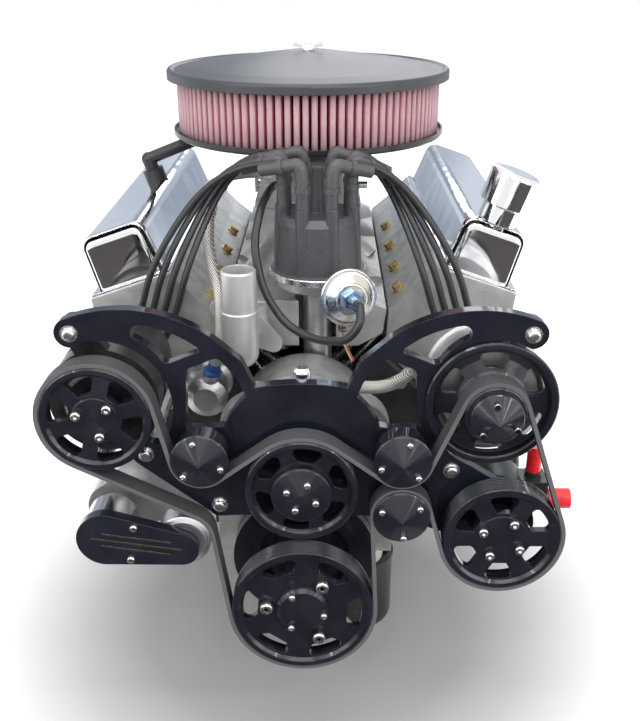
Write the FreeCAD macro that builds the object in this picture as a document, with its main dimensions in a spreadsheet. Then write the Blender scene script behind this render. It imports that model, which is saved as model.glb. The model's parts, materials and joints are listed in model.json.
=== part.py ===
import FreeCAD, Part
import math
import os
import Sketcher
from FreeCAD import Placement, Rotation, Vector

# Complete V8 engine with its serpentine front drive, in millimetres.
# The crankshaft runs along Y, its rear flange face is at the origin, the front of the engine
# looks along -Y and +Z is up.

os.makedirs("parts", exist_ok=True)
doc = FreeCAD.newDocument("v8_engine")
sheet = doc.addObject("Spreadsheet::Sheet", "Dims")

DIMENSIONS = {
    # Cylinder block
    "block_rear": 8, "block_length": 492, "block_middle": 254,
    "bore": 101.6, "bore_spacing": 111.25, "bank_stagger": 22, "deck_height": 208.4,
    "deck_inner": 76, "deck_outer": 76, "valley_height": 151,
    "rail_half_width": 116, "rail_drop": 25, "skirt_half_width": 100,
    "crankcase_radius": 86, "bulkhead": 24, "cap_half_width": 52, "cap_depth": 44,
    "side_mount_height": 8, "side_mount_spacing": 92, "side_mount_front": 330,
    "side_mount_hole": 11, "side_mount_depth": 20,
    # Crankshaft and camshaft
    "main_journal": 57.1, "rod_journal": 53.9, "stroke": 76.2, "web_radius": 80,
    "web_thickness": 15, "running_gap": 0.05, "seal_journal": 76,
    "flange_diameter": 97, "flange_recess": 4, "flange_clearance": 1.5,
    "flange_thickness": 10, "flange_bolt_circle": 76.2,
    "flange_bolt_hole": 11, "pilot_bore": 34, "pilot_depth": 20,
    "snout_diameter": 35, "snout_front": 668,
    "cam_height": 112.4, "cam_journal": 50.4, "cam_base_circle": 35, "cam_lift": 7.5,
    "lobe_width": 12, "cam_front": 528,
    # Timing set
    "sprocket_front": 522, "sprocket_width": 9, "crank_teeth": 21, "cam_teeth": 42,
    "chain_pitch": 9.525, "tooth_height": 3.6, "chain_gap": 0.3, "chain_thickness": 6,
    "chain_width": 14,
    # Pistons and valve train
    "piston_height": 44, "piston_gap": 0.12, "deck_clearance": 0.5, "pin_diameter": 23,
    "valve_offset": 24, "intake_valve": 24, "exhaust_valve": 20, "stem_diameter": 8,
    "valve_length": 143, "lifter_diameter": 22.2, "lifter_gap": 0.3, "lifter_length": 56,
    "pushrod_diameter": 8, "rocker_width": 13, "rocker_up": 14, "valve_out": 6, "cup_out": -24,
    # Cylinder heads and valve covers
    "head_length": 468, "rail_middle_across": 200, "rail_middle_height": 291,
    "rail_tilt": 19.2, "rail_width": 98, "head_bottom_gap": 1.2,
    "chamber_depth": 14, "plug_seat": 24, "plug_depth": 10, "exhaust_port_width": 30,
    "exhaust_port_height": 34, "port_depth": 36,
    "cover_length": 462, "cover_height": 66, "cover_wall": 2, "cover_width": 96,
    "cover_flange": 6,
    "breather_diameter": 58, "breather_height": 62, "breather_station": 446,
    "filler_neck": 30, "cover_round": 12, "grommet_hole": 28, "valve_station": 267,
    # Front of the engine
    "cover_front": 560, "timing_wall": 6, "timing_half_width": 104, "pan_depth": 215,
    "pan_half_width": 104, "pan_front_depth": 100, "pan_front_half": 88, "pan_wall": 3,
    "pan_flange": 4, "pan_corner": 20, "pickup_tube": 9, "sump_front": 372,
    "sump_rear": 40, "tray_front": 468.5,
    "balancer_diameter": 164, "balancer_front": 612, "balancer_rear": 574,
    "balancer_hub": 48,
    "filter_diameter": 86, "filter_length": 104.7, "filter_across": 66,
    "filter_front": 514.5, "filter_bottom": 157, "filter_boss": 60, "filter_gap": 0.3,
    # Belt drive
    "belt_plane": 696, "pulley_width": 25, "belt_width": 21.4, "belt_thickness": 4.2,
    "belt_gap": 0.3, "rib_pitch": 3.56, "rib_depth": 2.6, "ribs": 6, "axle": 17,
    "crank_pulley": 150, "pump_pulley": 113, "compressor_pulley": 110,
    "alternator_pulley": 60, "steering_pulley": 121, "idler": 54, "idler_cap": 58,
    "tensioner_pulley": 56,
    "pump_height": 147.3, "compressor_across": 199.6, "compressor_height": 227.4,
    "alternator_across": 188, "alternator_height": 233.5, "steering_across": 204.5,
    "steering_height": 91.5, "idler_across": 100.3, "idler_height": 182.6,
    "lower_idler_across": 101, "lower_idler_height": 118.5,
    "tensioner_across": 121.4, "tensioner_height": 89.5, "arm_pivot_across": 197.5,
    "arm_pivot_height": 100.7, "fan_diameter": 132, "crank_cap": 56, "rim_thickness": 6,
    "web_depth": 8, "pump_nose": 61, "pump_chamber": 28, "snout_collar": 44,
    "idler_cone": 12, "compressor_radius": 56,
    "alternator_nose": 52.5, "alternator_radius": 60, "tensioner_plate": 14,
    "cover_plate": 12, "arm_big_end": 29, "arm_small_end": 18,
    # Accessory bracket
    "bracket_front": 678, "bracket_thickness": 12.7, "tip_across": 223, "tip_height": 306,
    "tip_radius": 15, "scoop_radius": 71.5, "bracket_bolt": 13, "lug_across": 159,
    "lug_height": 174, "foot_across": 86, "foot_height": 114, "right_bolt_across": 152.6,
    "right_bolt_height": 156, "steering_lobe": 38, "standoff_radius": 9.5,
    # Induction
    "carburettor_station": 258, "air_cleaner_seat": 424, "lid_diameter": 361,
    "lid_height": 502, "base_diameter": 350, "base_height": 428, "element_diameter": 336,
    "element_wall": 22, "dome_height": 24, "stud_diameter": 6.35,
    "manifold_top": 338, "carburettor_bore": 42, "carburettor_flange": 346,
    "throttle_height": 358, "throttle_shaft": 9, "throttle_half_length": 70, "air_horn": 130,
    "barrel_across": 24, "barrel_along": 26,
    # Ignition and cooling outlet
    "distributor_across": 14, "distributor_station": 478, "distributor_shaft": 12.7,
    "distributor_hole": 31, "canister_diameter": 64,
    "cap_diameter": 109, "cap_bottom": 301, "cap_top": 374, "tower_top": 418,
    "plug_length": 40, "boot_drop": 26, "wire_diameter": 8, "wire_spacing": 13.5,
    "wire_station": 517, "hose_diameter": 9,
    "outlet_across": 69, "outlet_station": 570, "outlet_diameter": 38, "outlet_wall": 3,
    "outlet_top": 335, "outlet_seat": 45, "outlet_step": 1,
    "fuel_pump_across": 112, "fuel_pump_height": 176, "braid_diameter": 13,
}

for row, (alias, value) in enumerate(DIMENSIONS.items(), start=1):
    sheet.set(f"A{row}", alias)
    sheet.set(f"B{row}", str(value))
    sheet.setAlias(f"B{row}", alias)
doc.recompute()

PIECES = []
CUTS = []


def size(alias):
    """The value of one cell of the sheet."""
    return float(sheet.get(alias))


def frame_at(origin, across, normal):
    """A placement whose x runs along across and whose z runs along normal."""
    z_axis = Vector(normal).normalize()
    x_axis = Vector(across).normalize()
    return Placement(Vector(origin), Rotation(x_axis, z_axis.cross(x_axis), z_axis, "ZXY"))


def new_body(label):
    """One sub-part of the engine, which is written to its own file."""
    body = doc.addObject("PartDesign::Body", label)
    body.Label = label
    PIECES.append(body)
    return body


def keep_shape(label, shape):
    """A sub-part whose form neither sketches nor primitives give."""
    piece = doc.addObject("Part::Feature", label)
    piece.Label = label
    place_of_shape = shape.Placement
    piece.Shape = shape
    piece.Placement = place_of_shape
    PIECES.append(piece)
    return piece


def place(body, across=None, station=None, height=None):
    """Tie a body's place to the sheet: X across, Y backwards and Z up."""
    for axis, expression in (("x", across), ("y", station), ("z", height)):
        if expression:
            body.setExpression(f".Placement.Base.{axis}", expression)


def new_sketch(body, plane):
    """A sketch on a body's own XY plane, moved to the given plane."""
    drawing = body.newObject("Sketcher::SketchObject", "Sketch")
    base = [item for item in body.Origin.OriginFeatures if item.Role == "XY_Plane"][0]
    drawing.AttachmentSupport = [(base, "")]
    drawing.MapMode = "FlatFace"
    drawing.AttachmentOffset = plane
    return drawing


FRONT = ((1, 0, 0), (0, -1, 0))
SIDE = ((0, 1, 0), (1, 0, 0))
PLAN = ((1, 0, 0), (0, 0, 1))


def front_plane(station=0.0):
    """The plane across the engine at Y = -station: x is X and y is Z."""
    return frame_at((0, -station, 0), *FRONT)


def plan_plane(height=0.0):
    """The level plane at a height: x is X and y is Y."""
    return frame_at((0, 0, height), *PLAN)


def edges_of(steps):
    """Edges of a closed outline. A step is a point, or an arc's middle and end point."""
    edges = []
    start = steps[0]
    here = Vector(start[0], start[1], 0)
    first = here
    for step in list(steps[1:]) + [start]:
        if isinstance(step[0], (tuple, list)):
            middle = Vector(step[0][0], step[0][1], 0)
            end = Vector(step[1][0], step[1][1], 0)
            edges.append(Part.Arc(here, middle, end))
        else:
            end = Vector(step[0], step[1], 0)
            if end.distanceToPoint(here) > 1e-6:
                edges.append(Part.LineSegment(here, end))
        here = end
    if here.distanceToPoint(first) > 1e-6:
        edges.append(Part.LineSegment(here, first))
    return edges


def draw(drawing, steps):
    """Draw a closed outline in a sketch."""
    for edge in edges_of(steps):
        drawing.addGeometry(edge, False)


def draw_circle(drawing, across, up, radius):
    """Draw a circle; a radius given as words is tied to the sheet."""
    value = radius
    if isinstance(radius, str):
        words = radius.split("/")
        value = size(words[0].replace("Dims.", "").strip())
        if len(words) > 1:
            value = value / float(words[1])
    index = drawing.addGeometry(Part.Circle(Vector(across, up, 0), Vector(0, 0, 1), value), False)
    if isinstance(radius, str):
        row = drawing.addConstraint(Sketcher.Constraint("Radius", index, value))
        drawing.setExpression(f"Constraints[{row}]", radius)


def pad(body, drawing, length, reverse=False):
    """Give a sketch its thickness along the plane's normal, or against it."""
    feature = body.newObject("PartDesign::Pad", "Pad")
    feature.Profile = drawing
    if isinstance(length, str):
        feature.setExpression("Length", length)
    else:
        feature.Length = length
    feature.Reversed = reverse
    return feature


def pocket(body, drawing, length, reverse=False):
    """Cut a sketch away against the plane's normal, or along it."""
    feature = body.newObject("PartDesign::Pocket", "Pocket")
    feature.Profile = drawing
    if isinstance(length, str):
        feature.setExpression("Length", length)
    else:
        feature.Length = length
    feature.Reversed = reverse
    CUTS.append(feature)
    return feature


def revolve(body, steps, plane):
    """Turn a half profile once round the vertical axis of its plane."""
    drawing = new_sketch(body, plane)
    draw(drawing, steps)
    feature = body.newObject("PartDesign::Revolution", "Revolution")
    feature.Profile = drawing
    feature.ReferenceAxis = (drawing, ["V_Axis"])
    feature.Angle = 360
    return feature


def repeat(body, feature, drawing, count, whole=360.0):
    """Repeat a feature round the normal of its sketch."""
    pattern = body.newObject("PartDesign::PolarPattern", "PolarPattern")
    pattern.Originals = [feature]
    pattern.Axis = (drawing, ["N_Axis"])
    pattern.Angle = whole
    pattern.Occurrences = count
    body.Tip = pattern
    return pattern


TURNED = frame_at((0, 0, 0), (1, 0, 0), (0, 0, 1))
UPRIGHT = frame_at((0, 0, 0), (1, 0, 0), (0, -1, 0))


def cylinder(start, direction, radius, length):
    """A plain round bar from a point along a direction."""
    return Part.makeCylinder(radius, length, Vector(start), Vector(direction))


def bar(start, end, radius):
    """A plain round bar between two points."""
    run = Vector(end) - Vector(start)
    return Part.makeCylinder(radius, run.Length, Vector(start), run)


def box(low, high):
    """A block between two corners."""
    extent = Vector(high) - Vector(low)
    return Part.makeBox(extent.x, extent.y, extent.z, Vector(low))


def extrude(steps, plane, length):
    """An outline drawn on a plane, extruded along its normal."""
    face = Part.Face(Part.Wire([edge.toShape() for edge in edges_of(steps)]))
    face.Placement = plane
    return face.extrude(plane.Rotation.multVec(Vector(0, 0, length)))


def turned(steps, start, direction):
    """A half profile of radius and distance, turned round an axis through start."""
    face = Part.Face(Part.Wire([edge.toShape() for edge in edges_of(steps)]))
    solid = face.revolve(Vector(0, 0, 0), Vector(0, 1, 0), 360)
    solid.Placement = Placement(Vector(start), Rotation(Vector(0, 1, 0), Vector(direction)))
    return solid


def group(label, solids):
    """Like pieces that share one node as separate solids."""
    return keep_shape(label, Part.makeCompound(solids))


# Places that several pieces share

def cylinder_stations(side):
    """Distances behind the origin of one bank's four cylinders."""
    middle = size("block_middle") - side * size("bank_stagger") / 2
    return [middle + (index - 1.5) * size("bore_spacing") for index in range(4)]


def main_stations():
    """Distances of the five main bearings."""
    return [size("block_middle") + (index - 2) * size("bore_spacing") for index in range(5)]


SLANT = math.sqrt(0.5)


def deck_point(side, along, out):
    """A point of a bank's section: along its bore axis, and out across its deck."""
    return (side * (along + out) * SLANT, (along - out) * SLANT)


def rail_point(side, out, up):
    """A point of a bank's section: out across its cover rail, and up from the rail."""
    tilt = math.radians(size("rail_tilt"))
    across = size("rail_middle_across") + out * math.cos(tilt) + up * math.sin(tilt)
    height = size("rail_middle_height") - out * math.sin(tilt) + up * math.cos(tilt)
    return (side * across, height)


def at(point, station):
    """A section point placed at a distance behind the front of the frame."""
    return Vector(point[0], -station, point[1])


def both(distance):
    """The same distance to either side of a middle line."""
    return (-distance, distance)


SIDES = {"left": -1, "right": 1}


# Cylinder block

def make_block():
    """Cast block: two banks at ninety degrees, five bulkheads and a short skirt."""
    body = new_body("engine_block")
    deck = size("deck_height")
    outer = size("deck_outer")
    inner = size("deck_inner")
    valley = size("valley_height")
    rail = size("rail_half_width")
    drop = size("rail_drop")
    skirt = size("skirt_half_width")
    half = [
        (rail, -drop), (rail, -drop + 12), (skirt, -drop + 24), (skirt + 8, 6),
        deck_point(1, deck - 96, outer - 6), deck_point(1, deck - 14, outer - 6),
        deck_point(1, deck - 10, outer), deck_point(1, deck, outer),
        deck_point(1, deck, -inner), deck_point(1, deck - 12, -inner),
        (62, valley + 4), (56, valley),
    ]
    outline = half + [(-x, z) for x, z in reversed(half)]
    drawing = new_sketch(body, front_plane(size("block_rear")))
    draw(drawing, outline)
    pad(body, drawing, "Dims.block_length")
    # Crankcase bays between the bulkheads
    reach = size("crankcase_radius")
    mains = main_stations()
    web = size("bulkhead")
    front_station = size("block_rear") + size("block_length")
    low = -drop - 1
    bay = [(-reach, low), (-reach, 0), ((0, reach), (reach, 0)), (reach, low)]
    for first, second in zip(mains[:-1], mains[1:]):
        drawing = new_sketch(body, front_plane(second - web / 2))
        draw(drawing, bay)
        pocket(body, drawing, second - first - web)
    # Seats of the main bearing caps, cut through the whole length below the crank axis
    drawing = new_sketch(body, front_plane(front_station + 1))
    seat = size("cap_half_width")
    draw(drawing, [(-seat, low), (-seat, 0), (seat, 0), (seat, low)])
    pocket(body, drawing, size("block_length") + 2)
    # Main bearing line and cam tunnel
    drawing = new_sketch(body, front_plane(front_station + 1))
    draw_circle(drawing, 0, 0, size("main_journal") / 2 + size("running_gap"))
    draw_circle(drawing, 0, size("cam_height"), size("cam_journal") / 2 + size("running_gap"))
    pocket(body, drawing, size("block_length") + 2)
    # Rear seal counterbore round the crankshaft's seal journal
    drawing = new_sketch(body, front_plane(size("block_rear") - 1))
    draw_circle(drawing, 0, 0, size("seal_journal") / 2 + size("running_gap"))
    pocket(body, drawing, 13, reverse=True)
    # Shallow recess that the crankshaft's flange turns in
    drawing = new_sketch(body, front_plane(size("block_rear") - 1))
    draw_circle(drawing, 0, 0, size("flange_diameter") / 2 + size("flange_clearance"))
    pocket(body, drawing, size("flange_recess") + 1, reverse=True)
    # Cylinder bores and lifter bores of each bank
    for side in SIDES.values():
        drawing = new_sketch(body, frame_at(at(deck_point(side, deck + 1, 0), 0),
                                            (0, -1, 0), (side, 0, 1)))
        for station in cylinder_stations(side):
            draw_circle(drawing, station, 0, "Dims.bore/2")
        pocket(body, drawing, deck + 1 - reach + 10)
        drawing = new_sketch(body, frame_at((0, 0, size("cam_height")), (0, -1, 0), (side, 0, 1)))
        for station in valve_stations(side):
            draw_circle(drawing, station, 0, size("lifter_diameter") / 2 + size("running_gap"))
        pocket(body, drawing, 110, reverse=True)
    # Hole for the distributor's drive gear
    drawing = new_sketch(body, plan_plane(valley + 1))
    draw_circle(drawing, size("distributor_across"), -size("distributor_station"),
                "Dims.distributor_hole/2")
    pocket(body, drawing, valley + 1 - size("cam_height"))
    # Tapped holes of the engine mounts on both sides of the block
    for side in SIDES.values():
        face = skirt + 8
        drawing = new_sketch(body, frame_at((side * (face + 14), 0, size("side_mount_height") + 10),
                                            (0, -1, 0), (side, 0, 0)))
        for index in (0, 1):
            station = size("side_mount_front") - index * size("side_mount_spacing")
            draw_circle(drawing, station, 0, "Dims.side_mount_hole/2")
        pocket(body, drawing, 14 + size("side_mount_depth"))


def valve_stations(side):
    """Distances of the eight valves, lifters and pushrods of one bank."""
    offset = size("valve_offset")
    return sorted(station + shift for station in cylinder_stations(side)
                  for shift in (-offset, offset))


def make_main_caps():
    """Five bearing caps that hold the crankshaft up in its bulkheads."""
    caps = []
    half = size("cap_half_width") - 0.1
    depth = size("cap_depth")
    radius = size("main_journal") / 2 + size("running_gap")
    outline = [(half, 0), (half, -depth + 14), (half - 14, -depth), (14 - half, -depth),
               (-half, -depth + 14), (-half, 0), (-radius, 0), ((0, -radius), (radius, 0))]
    web = size("bulkhead") - 2
    for station in main_stations():
        plane = front_plane(station - web / 2)
        cap = extrude(outline, plane, web)
        if station < size("block_rear") + 30:
            seal = size("seal_journal") / 2 + size("running_gap")
            cap = cap.cut(cylinder((0, 0, 0), (0, -1, 0), seal, size("block_rear") + 12))
        caps.append(cap)
    group("main_bearing_caps", caps)


# Crankshaft, camshaft and timing set

def make_crankshaft():
    """Forged crank with four throws in two planes and a counterweight on each web."""
    body = new_body("crankshaft")
    main = size("main_journal") / 2
    flange = size("flange_diameter") / 2
    thick = size("flange_thickness")
    seal = size("seal_journal") / 2
    rear_main = main_stations()[0]
    front_main = main_stations()[-1]
    web = size("bulkhead")
    revolve(body, [(0, 0), (flange, 0), (flange, -thick + 2), (seal, -thick + 2),
                   (seal, -thick - 10), (main, -thick - 10), (main, -rear_main - web / 2 - 1),
                   (0, -rear_main - web / 2 - 1)], TURNED)
    # Middle journals and the snout
    for station in main_stations()[1:-1]:
        drawing = new_sketch(body, front_plane(station - web / 2 - 1))
        draw_circle(drawing, 0, 0, "Dims.main_journal/2")
        pad(body, drawing, web + 2)
    drawing = new_sketch(body, front_plane(front_main - web / 2 - 1))
    draw_circle(drawing, 0, 0, "Dims.main_journal/2")
    pad(body, drawing, web + 2)
    drawing = new_sketch(body, front_plane(front_main + web / 2 + 1))
    draw_circle(drawing, 0, 0, "Dims.snout_diameter/2")
    pad(body, drawing, size("snout_front") - front_main - web / 2 - 1)
    # Webs with their counterweights, and the rod journals between them
    throw = size("stroke") / 2
    reach = size("web_radius")
    pin = size("rod_journal") / 2
    thickness = size("web_thickness")
    spacing = size("bore_spacing")
    angles = [math.radians(turn) for turn in (180, 270, 90, 0)]
    for index, angle in enumerate(angles):
        middle = size("block_middle") + (index - 1.5) * spacing
        ahead = Vector(math.sin(angle), 0, math.cos(angle))
        for end in (-1, 1):
            edge = middle + end * (spacing / 2 - web / 2 - 1)
            start = edge if end < 0 else edge - thickness
            plane = frame_at((0, -start, 0), (ahead.z, 0, -ahead.x), (0, -1, 0))
            drawing = new_sketch(body, plane)
            cheek = pin + 6
            slope = reach * 0.8
            sink = -math.sqrt(reach * reach - slope * slope)
            draw(drawing, [(-cheek, throw), ((0, throw + cheek), (cheek, throw)),
                           (main + 6, 0), (slope, sink), ((0, -reach), (-slope, sink)),
                           (-main - 6, 0)])
            pad(body, drawing, thickness)
        drawing = new_sketch(body, front_plane(middle - spacing / 2 + web / 2 + 1 + thickness))
        draw_circle(drawing, throw * ahead.x, throw * ahead.z, "Dims.rod_journal/2")
        pad(body, drawing, spacing - web - 2 - 2 * thickness)
    # Flywheel bolt holes and the pilot bore
    drawing = new_sketch(body, front_plane(0))
    circle = size("flange_bolt_circle") / 2
    for index in range(6):
        turn = math.radians(60 * index)
        draw_circle(drawing, circle * math.cos(turn), circle * math.sin(turn),
                    "Dims.flange_bolt_hole/2")
    pocket(body, drawing, thick - 2, reverse=True)
    drawing = new_sketch(body, front_plane(0))
    draw_circle(drawing, 0, 0, "Dims.pilot_bore/2")
    pocket(body, drawing, "Dims.pilot_depth", reverse=True)


def make_camshaft():
    """Camshaft with five journals and sixteen lobes, turned at half the crank's speed."""
    body = new_body("camshaft")
    place(body, height="Dims.cam_height")
    journal = size("cam_journal") / 2
    core = size("cam_base_circle") / 2 - 3
    rear = size("block_rear") + 6
    front = size("block_rear") + size("block_length")
    web = size("bulkhead")
    steps = [(0, -rear), (journal, -rear)]
    mains = main_stations()
    steps += [(journal, -mains[0] - web / 2), (core, -mains[0] - web / 2)]
    for station in mains[1:]:
        steps += [(core, -station + web / 2), (journal, -station + web / 2),
                  (journal, -min(station + web / 2, front - 1)),
                  (core, -min(station + web / 2, front - 1))]
    steps += [(core, -size("cam_front")), (0, -size("cam_front"))]
    revolve(body, steps, TURNED)
    base = size("cam_base_circle") / 2
    lift = size("cam_lift")
    width = size("lobe_width")
    number = 0
    for side in SIDES.values():
        for station in valve_stations(side):
            angle = math.radians(20 + 90 * (number % 4) + 135 * (number // 4))
            number += 1
            plane = frame_at((0, -station + width / 2, 0),
                             (math.cos(angle), 0, -math.sin(angle)), (0, -1, 0))
            drawing = new_sketch(body, plane)
            nose = base + lift
            draw(drawing, [(-base, 0), ((0, -base), (base, 0)), (base * 0.62, nose * 0.68),
                           ((0, nose), (-base * 0.62, nose * 0.68))])
            pad(body, drawing, width)


def sprocket_radius(teeth):
    """Pitch radius of a chain wheel."""
    return size("chain_pitch") / (2 * math.sin(math.pi / teeth))


def sprocket(body, teeth, bore):
    """A toothed wheel with trapezoid teeth on its root circle."""
    pitch = sprocket_radius(teeth)
    root = pitch - size("tooth_height") / 2
    tip = pitch + size("tooth_height") / 2
    rear = size("sprocket_front") - size("sprocket_width")
    drawing = new_sketch(body, front_plane(rear))
    corners = []
    for index in range(int(teeth)):
        for share, radius in ((-0.30, root), (-0.12, tip), (0.12, tip), (0.30, root)):
            turn = 2 * math.pi * (index + share) / teeth
            corners.append((radius * math.cos(turn), radius * math.sin(turn)))
    draw(drawing, corners)
    draw_circle(drawing, 0, 0, bore)
    pad(body, drawing, "Dims.sprocket_width")


def make_timing_set():
    """Crank sprocket, cam sprocket and the chain round both."""
    body = new_body("crank_sprocket")
    sprocket(body, size("crank_teeth"), "Dims.snout_diameter/2")
    body = new_body("cam_sprocket")
    place(body, height="Dims.cam_height")
    sprocket(body, size("cam_teeth"), size("cam_base_circle") / 2 - 3)
    drawing = new_sketch(body, front_plane(size("sprocket_front") + 1))
    rim = sprocket_radius(size("cam_teeth")) - 14
    turn = math.radians(22)
    hub = 26
    draw(drawing, [(hub * math.cos(turn), -hub * math.sin(turn)),
                   (rim * math.cos(turn), -rim * math.sin(turn)),
                   ((rim, 0), (rim * math.cos(turn), rim * math.sin(turn))),
                   (hub * math.cos(turn), hub * math.sin(turn))])
    window = pocket(body, drawing, size("sprocket_width") + 2)
    repeat(body, window, drawing, 4)
    half = size("chain_thickness") / 2
    clear = size("tooth_height") / 2 + size("chain_gap") + half
    wheels = [(0, 0, sprocket_radius(size("crank_teeth")) + clear, -1),
              (0, size("cam_height"), sprocket_radius(size("cam_teeth")) + clear, -1)]
    station = size("sprocket_front") - size("sprocket_width") / 2 - size("chain_width") / 2
    keep_shape("timing_chain", loop_band(wheels, half, station, size("chain_width")))


# Belts and chains

def tangent_points(first, second):
    """Where a straight run leaves one wheel and meets the next; -1 is clockwise."""
    x1, z1, r1, turn1 = first
    x2, z2, r2, turn2 = second
    span = Vector(x2 - x1, z2 - z1, 0)
    length = span.Length
    ahead = span / length
    left = Vector(-ahead.y, ahead.x, 0)
    share = (turn2 * r2 - turn1 * r1) / length
    normal = ahead * share + left * math.sqrt(1 - share * share)
    return (Vector(x1, z1, 0) - normal * (turn1 * r1), Vector(x2, z2, 0) - normal * (turn2 * r2))


def loop_wire(wheels, shift):
    """The closed line round all wheels, moved sideways by shift to the left of its travel."""
    moved = [(x, z, r - turn * shift, turn) for x, z, r, turn in wheels]
    count = len(moved)
    runs = [tangent_points(moved[index], moved[(index + 1) % count]) for index in range(count)]
    edges = []
    for index, (x, z, r, turn) in enumerate(moved):
        arrive = runs[index - 1][1]
        leave = runs[index][0]
        start = math.atan2(arrive.y - z, arrive.x - x)
        end = math.atan2(leave.y - z, leave.x - x)
        sweep = (end - start) * turn % (2 * math.pi)
        middle = start + turn * sweep / 2
        half_way = Vector(x + r * math.cos(middle), z + r * math.sin(middle), 0)
        edges.append(Part.Arc(arrive, half_way, leave).toShape())
        edges.append(Part.LineSegment(leave, runs[index][1]).toShape())
    return Part.Wire(edges)


def loop_band(wheels, half, station, width):
    """A flat band round the wheels, of the given half thickness."""
    outer = Part.Face(loop_wire(wheels, half))
    inner = Part.Face(loop_wire(wheels, -half))
    plane = front_plane(station)
    solids = []
    for face in (outer, inner):
        face.Placement = plane
        solids.append(face.extrude(Vector(0, -width, 0)))
    return solids[0].cut(solids[1])


# Pistons, valve train and oil pump

def make_pistons():
    """Eight pistons with their pins, parked at the top of the bores."""
    solids = []
    radius = size("bore") / 2 - size("piston_gap")
    tall = size("piston_height")
    crown = size("deck_height") - size("deck_clearance")
    pin = size("pin_diameter") / 2
    for side in SIDES.values():
        up = Vector(side, 0, 1)
        for station in cylinder_stations(side):
            start = at(deck_point(side, crown - tall, 0), station)
            blank = cylinder(start, up, radius, tall)
            hollow = cylinder(start, up, radius - 7, tall - 9)
            blank = blank.cut(hollow)
            middle = at(deck_point(side, crown - tall + 16, 0), station)
            reach = Vector(0, radius - 3, 0)
            solids.append(blank.fuse(bar(middle - reach, middle + reach, pin)))
    group("pistons", solids)


def valve_seat(side):
    """Where the valve axis of a bank meets the deck, as out across the rail and up."""
    out = size("valve_out")
    drop = size("valve_length")
    return rail_point(side, out, -drop)


def lifter_top(side):
    """The top of a lifter, in a bank's section."""
    reach = size("cam_base_circle") / 2 + size("cam_lift") + size("lifter_gap")
    reach += size("lifter_length")
    return (side * reach * SLANT, size("cam_height") + reach * SLANT)


def make_valve_train():
    """Lifters, pushrods, rocker arms and valves of all sixteen ports."""
    lifters = []
    pushrods = []
    rockers = []
    valves = []
    bottom = size("cam_base_circle") / 2 + size("cam_lift") + size("lifter_gap")
    stem = size("stem_diameter") / 2
    long = size("valve_length")
    for side in SIDES.values():
        up = Vector(side, 0, 1)
        tilt = math.radians(size("rail_tilt"))
        lean = Vector(side * math.sin(tilt), 0, math.cos(tilt))
        across = Vector(side * math.cos(tilt), 0, -math.sin(tilt))
        for index, station in enumerate(valve_stations(side)):
            foot = Vector(side * bottom * SLANT, -station, size("cam_height") + bottom * SLANT)
            lifters.append(cylinder(foot, up, size("lifter_diameter") / 2, size("lifter_length")))
            top = at(lifter_top(side), station)
            cup = at(rail_point(side, size("cup_out"), size("rocker_up")), station)
            run = (cup - top).normalize()
            pushrods.append(bar(top + run * 0.5, cup - run * 0.4, size("pushrod_diameter") / 2))
            wide = size("rocker_width")
            tip = at(rail_point(side, size("valve_out"), size("rocker_up")), station)
            plane = frame_at(cup + Vector(0, wide / 2, 0) + lean * 0.3, across, (0, -1, 0))
            reach = (tip - cup).Length
            rocker = extrude([(-7, 0), (-7, side * 9), (reach / 2 - 8, side * 13),
                              (reach / 2 + 8, side * 13), (reach + 6, side * 8),
                              (reach + 6, 0), (reach - 6, 0), (reach / 2, side * 4)],
                             plane, wide)
            rockers.append(rocker)
            head = size("intake_valve") if index % 4 in (0, 3) else size("exhaust_valve")
            face = at(valve_seat(side), station)
            profile = [(0, 0), (head, 0), (head, 2), (stem + 5, 9), (stem, 14),
                       (stem, long + 2), (stem + 10, long + 2), (stem + 7, long + 8),
                       (stem, long + 8), (stem, long + size("rocker_up")),
                       (0, long + size("rocker_up"))]
            valves.append(turned(profile, face, lean))
    group("lifters", lifters)
    group("pushrods", pushrods)
    group("rocker_arms", rockers)
    group("valves", valves)


def make_oil_pump():
    """Pump under the front bearing with its pickup in the sump."""
    front = size("block_rear") + size("block_length") - 8
    low = -size("pan_front_depth") + size("pan_wall") + 3
    depth = size("cap_depth")
    body = box((-62, -front, low + 4), (-4, -front + 26, -depth - 0.3))
    tube = size("pickup_tube") / 2
    height = low + tube
    rear = -size("sump_front") + 60
    line = -26
    run = bar((line, -front + 20, height), (line, rear, height), tube)
    foot = -size("pan_depth") + size("pan_wall") + 14
    drop = bar((line, rear, height), (line, rear, foot), tube)
    screen = cylinder((line, rear, foot - 8), (0, 0, 1), 30, 8)
    elbow = Part.makeSphere(tube, Vector(line, rear, height))
    keep_shape("oil_pump", body.multiFuse([run, drop, screen, elbow]))


# Cylinder heads, gaskets and valve covers

def head_outline(side):
    """Section of a cylinder head from its deck face to its cover rail."""
    deck = size("deck_height") + size("head_bottom_gap")
    half = size("rail_width") / 2
    return [deck_point(side, deck, -size("deck_inner")), deck_point(side, deck, size("deck_outer")),
            (side * 216, 112), (side * 244, 258), rail_point(side, half, 0),
            rail_point(side, -half, 0), (side * 122, 274), (side * 98, 254)]


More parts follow.
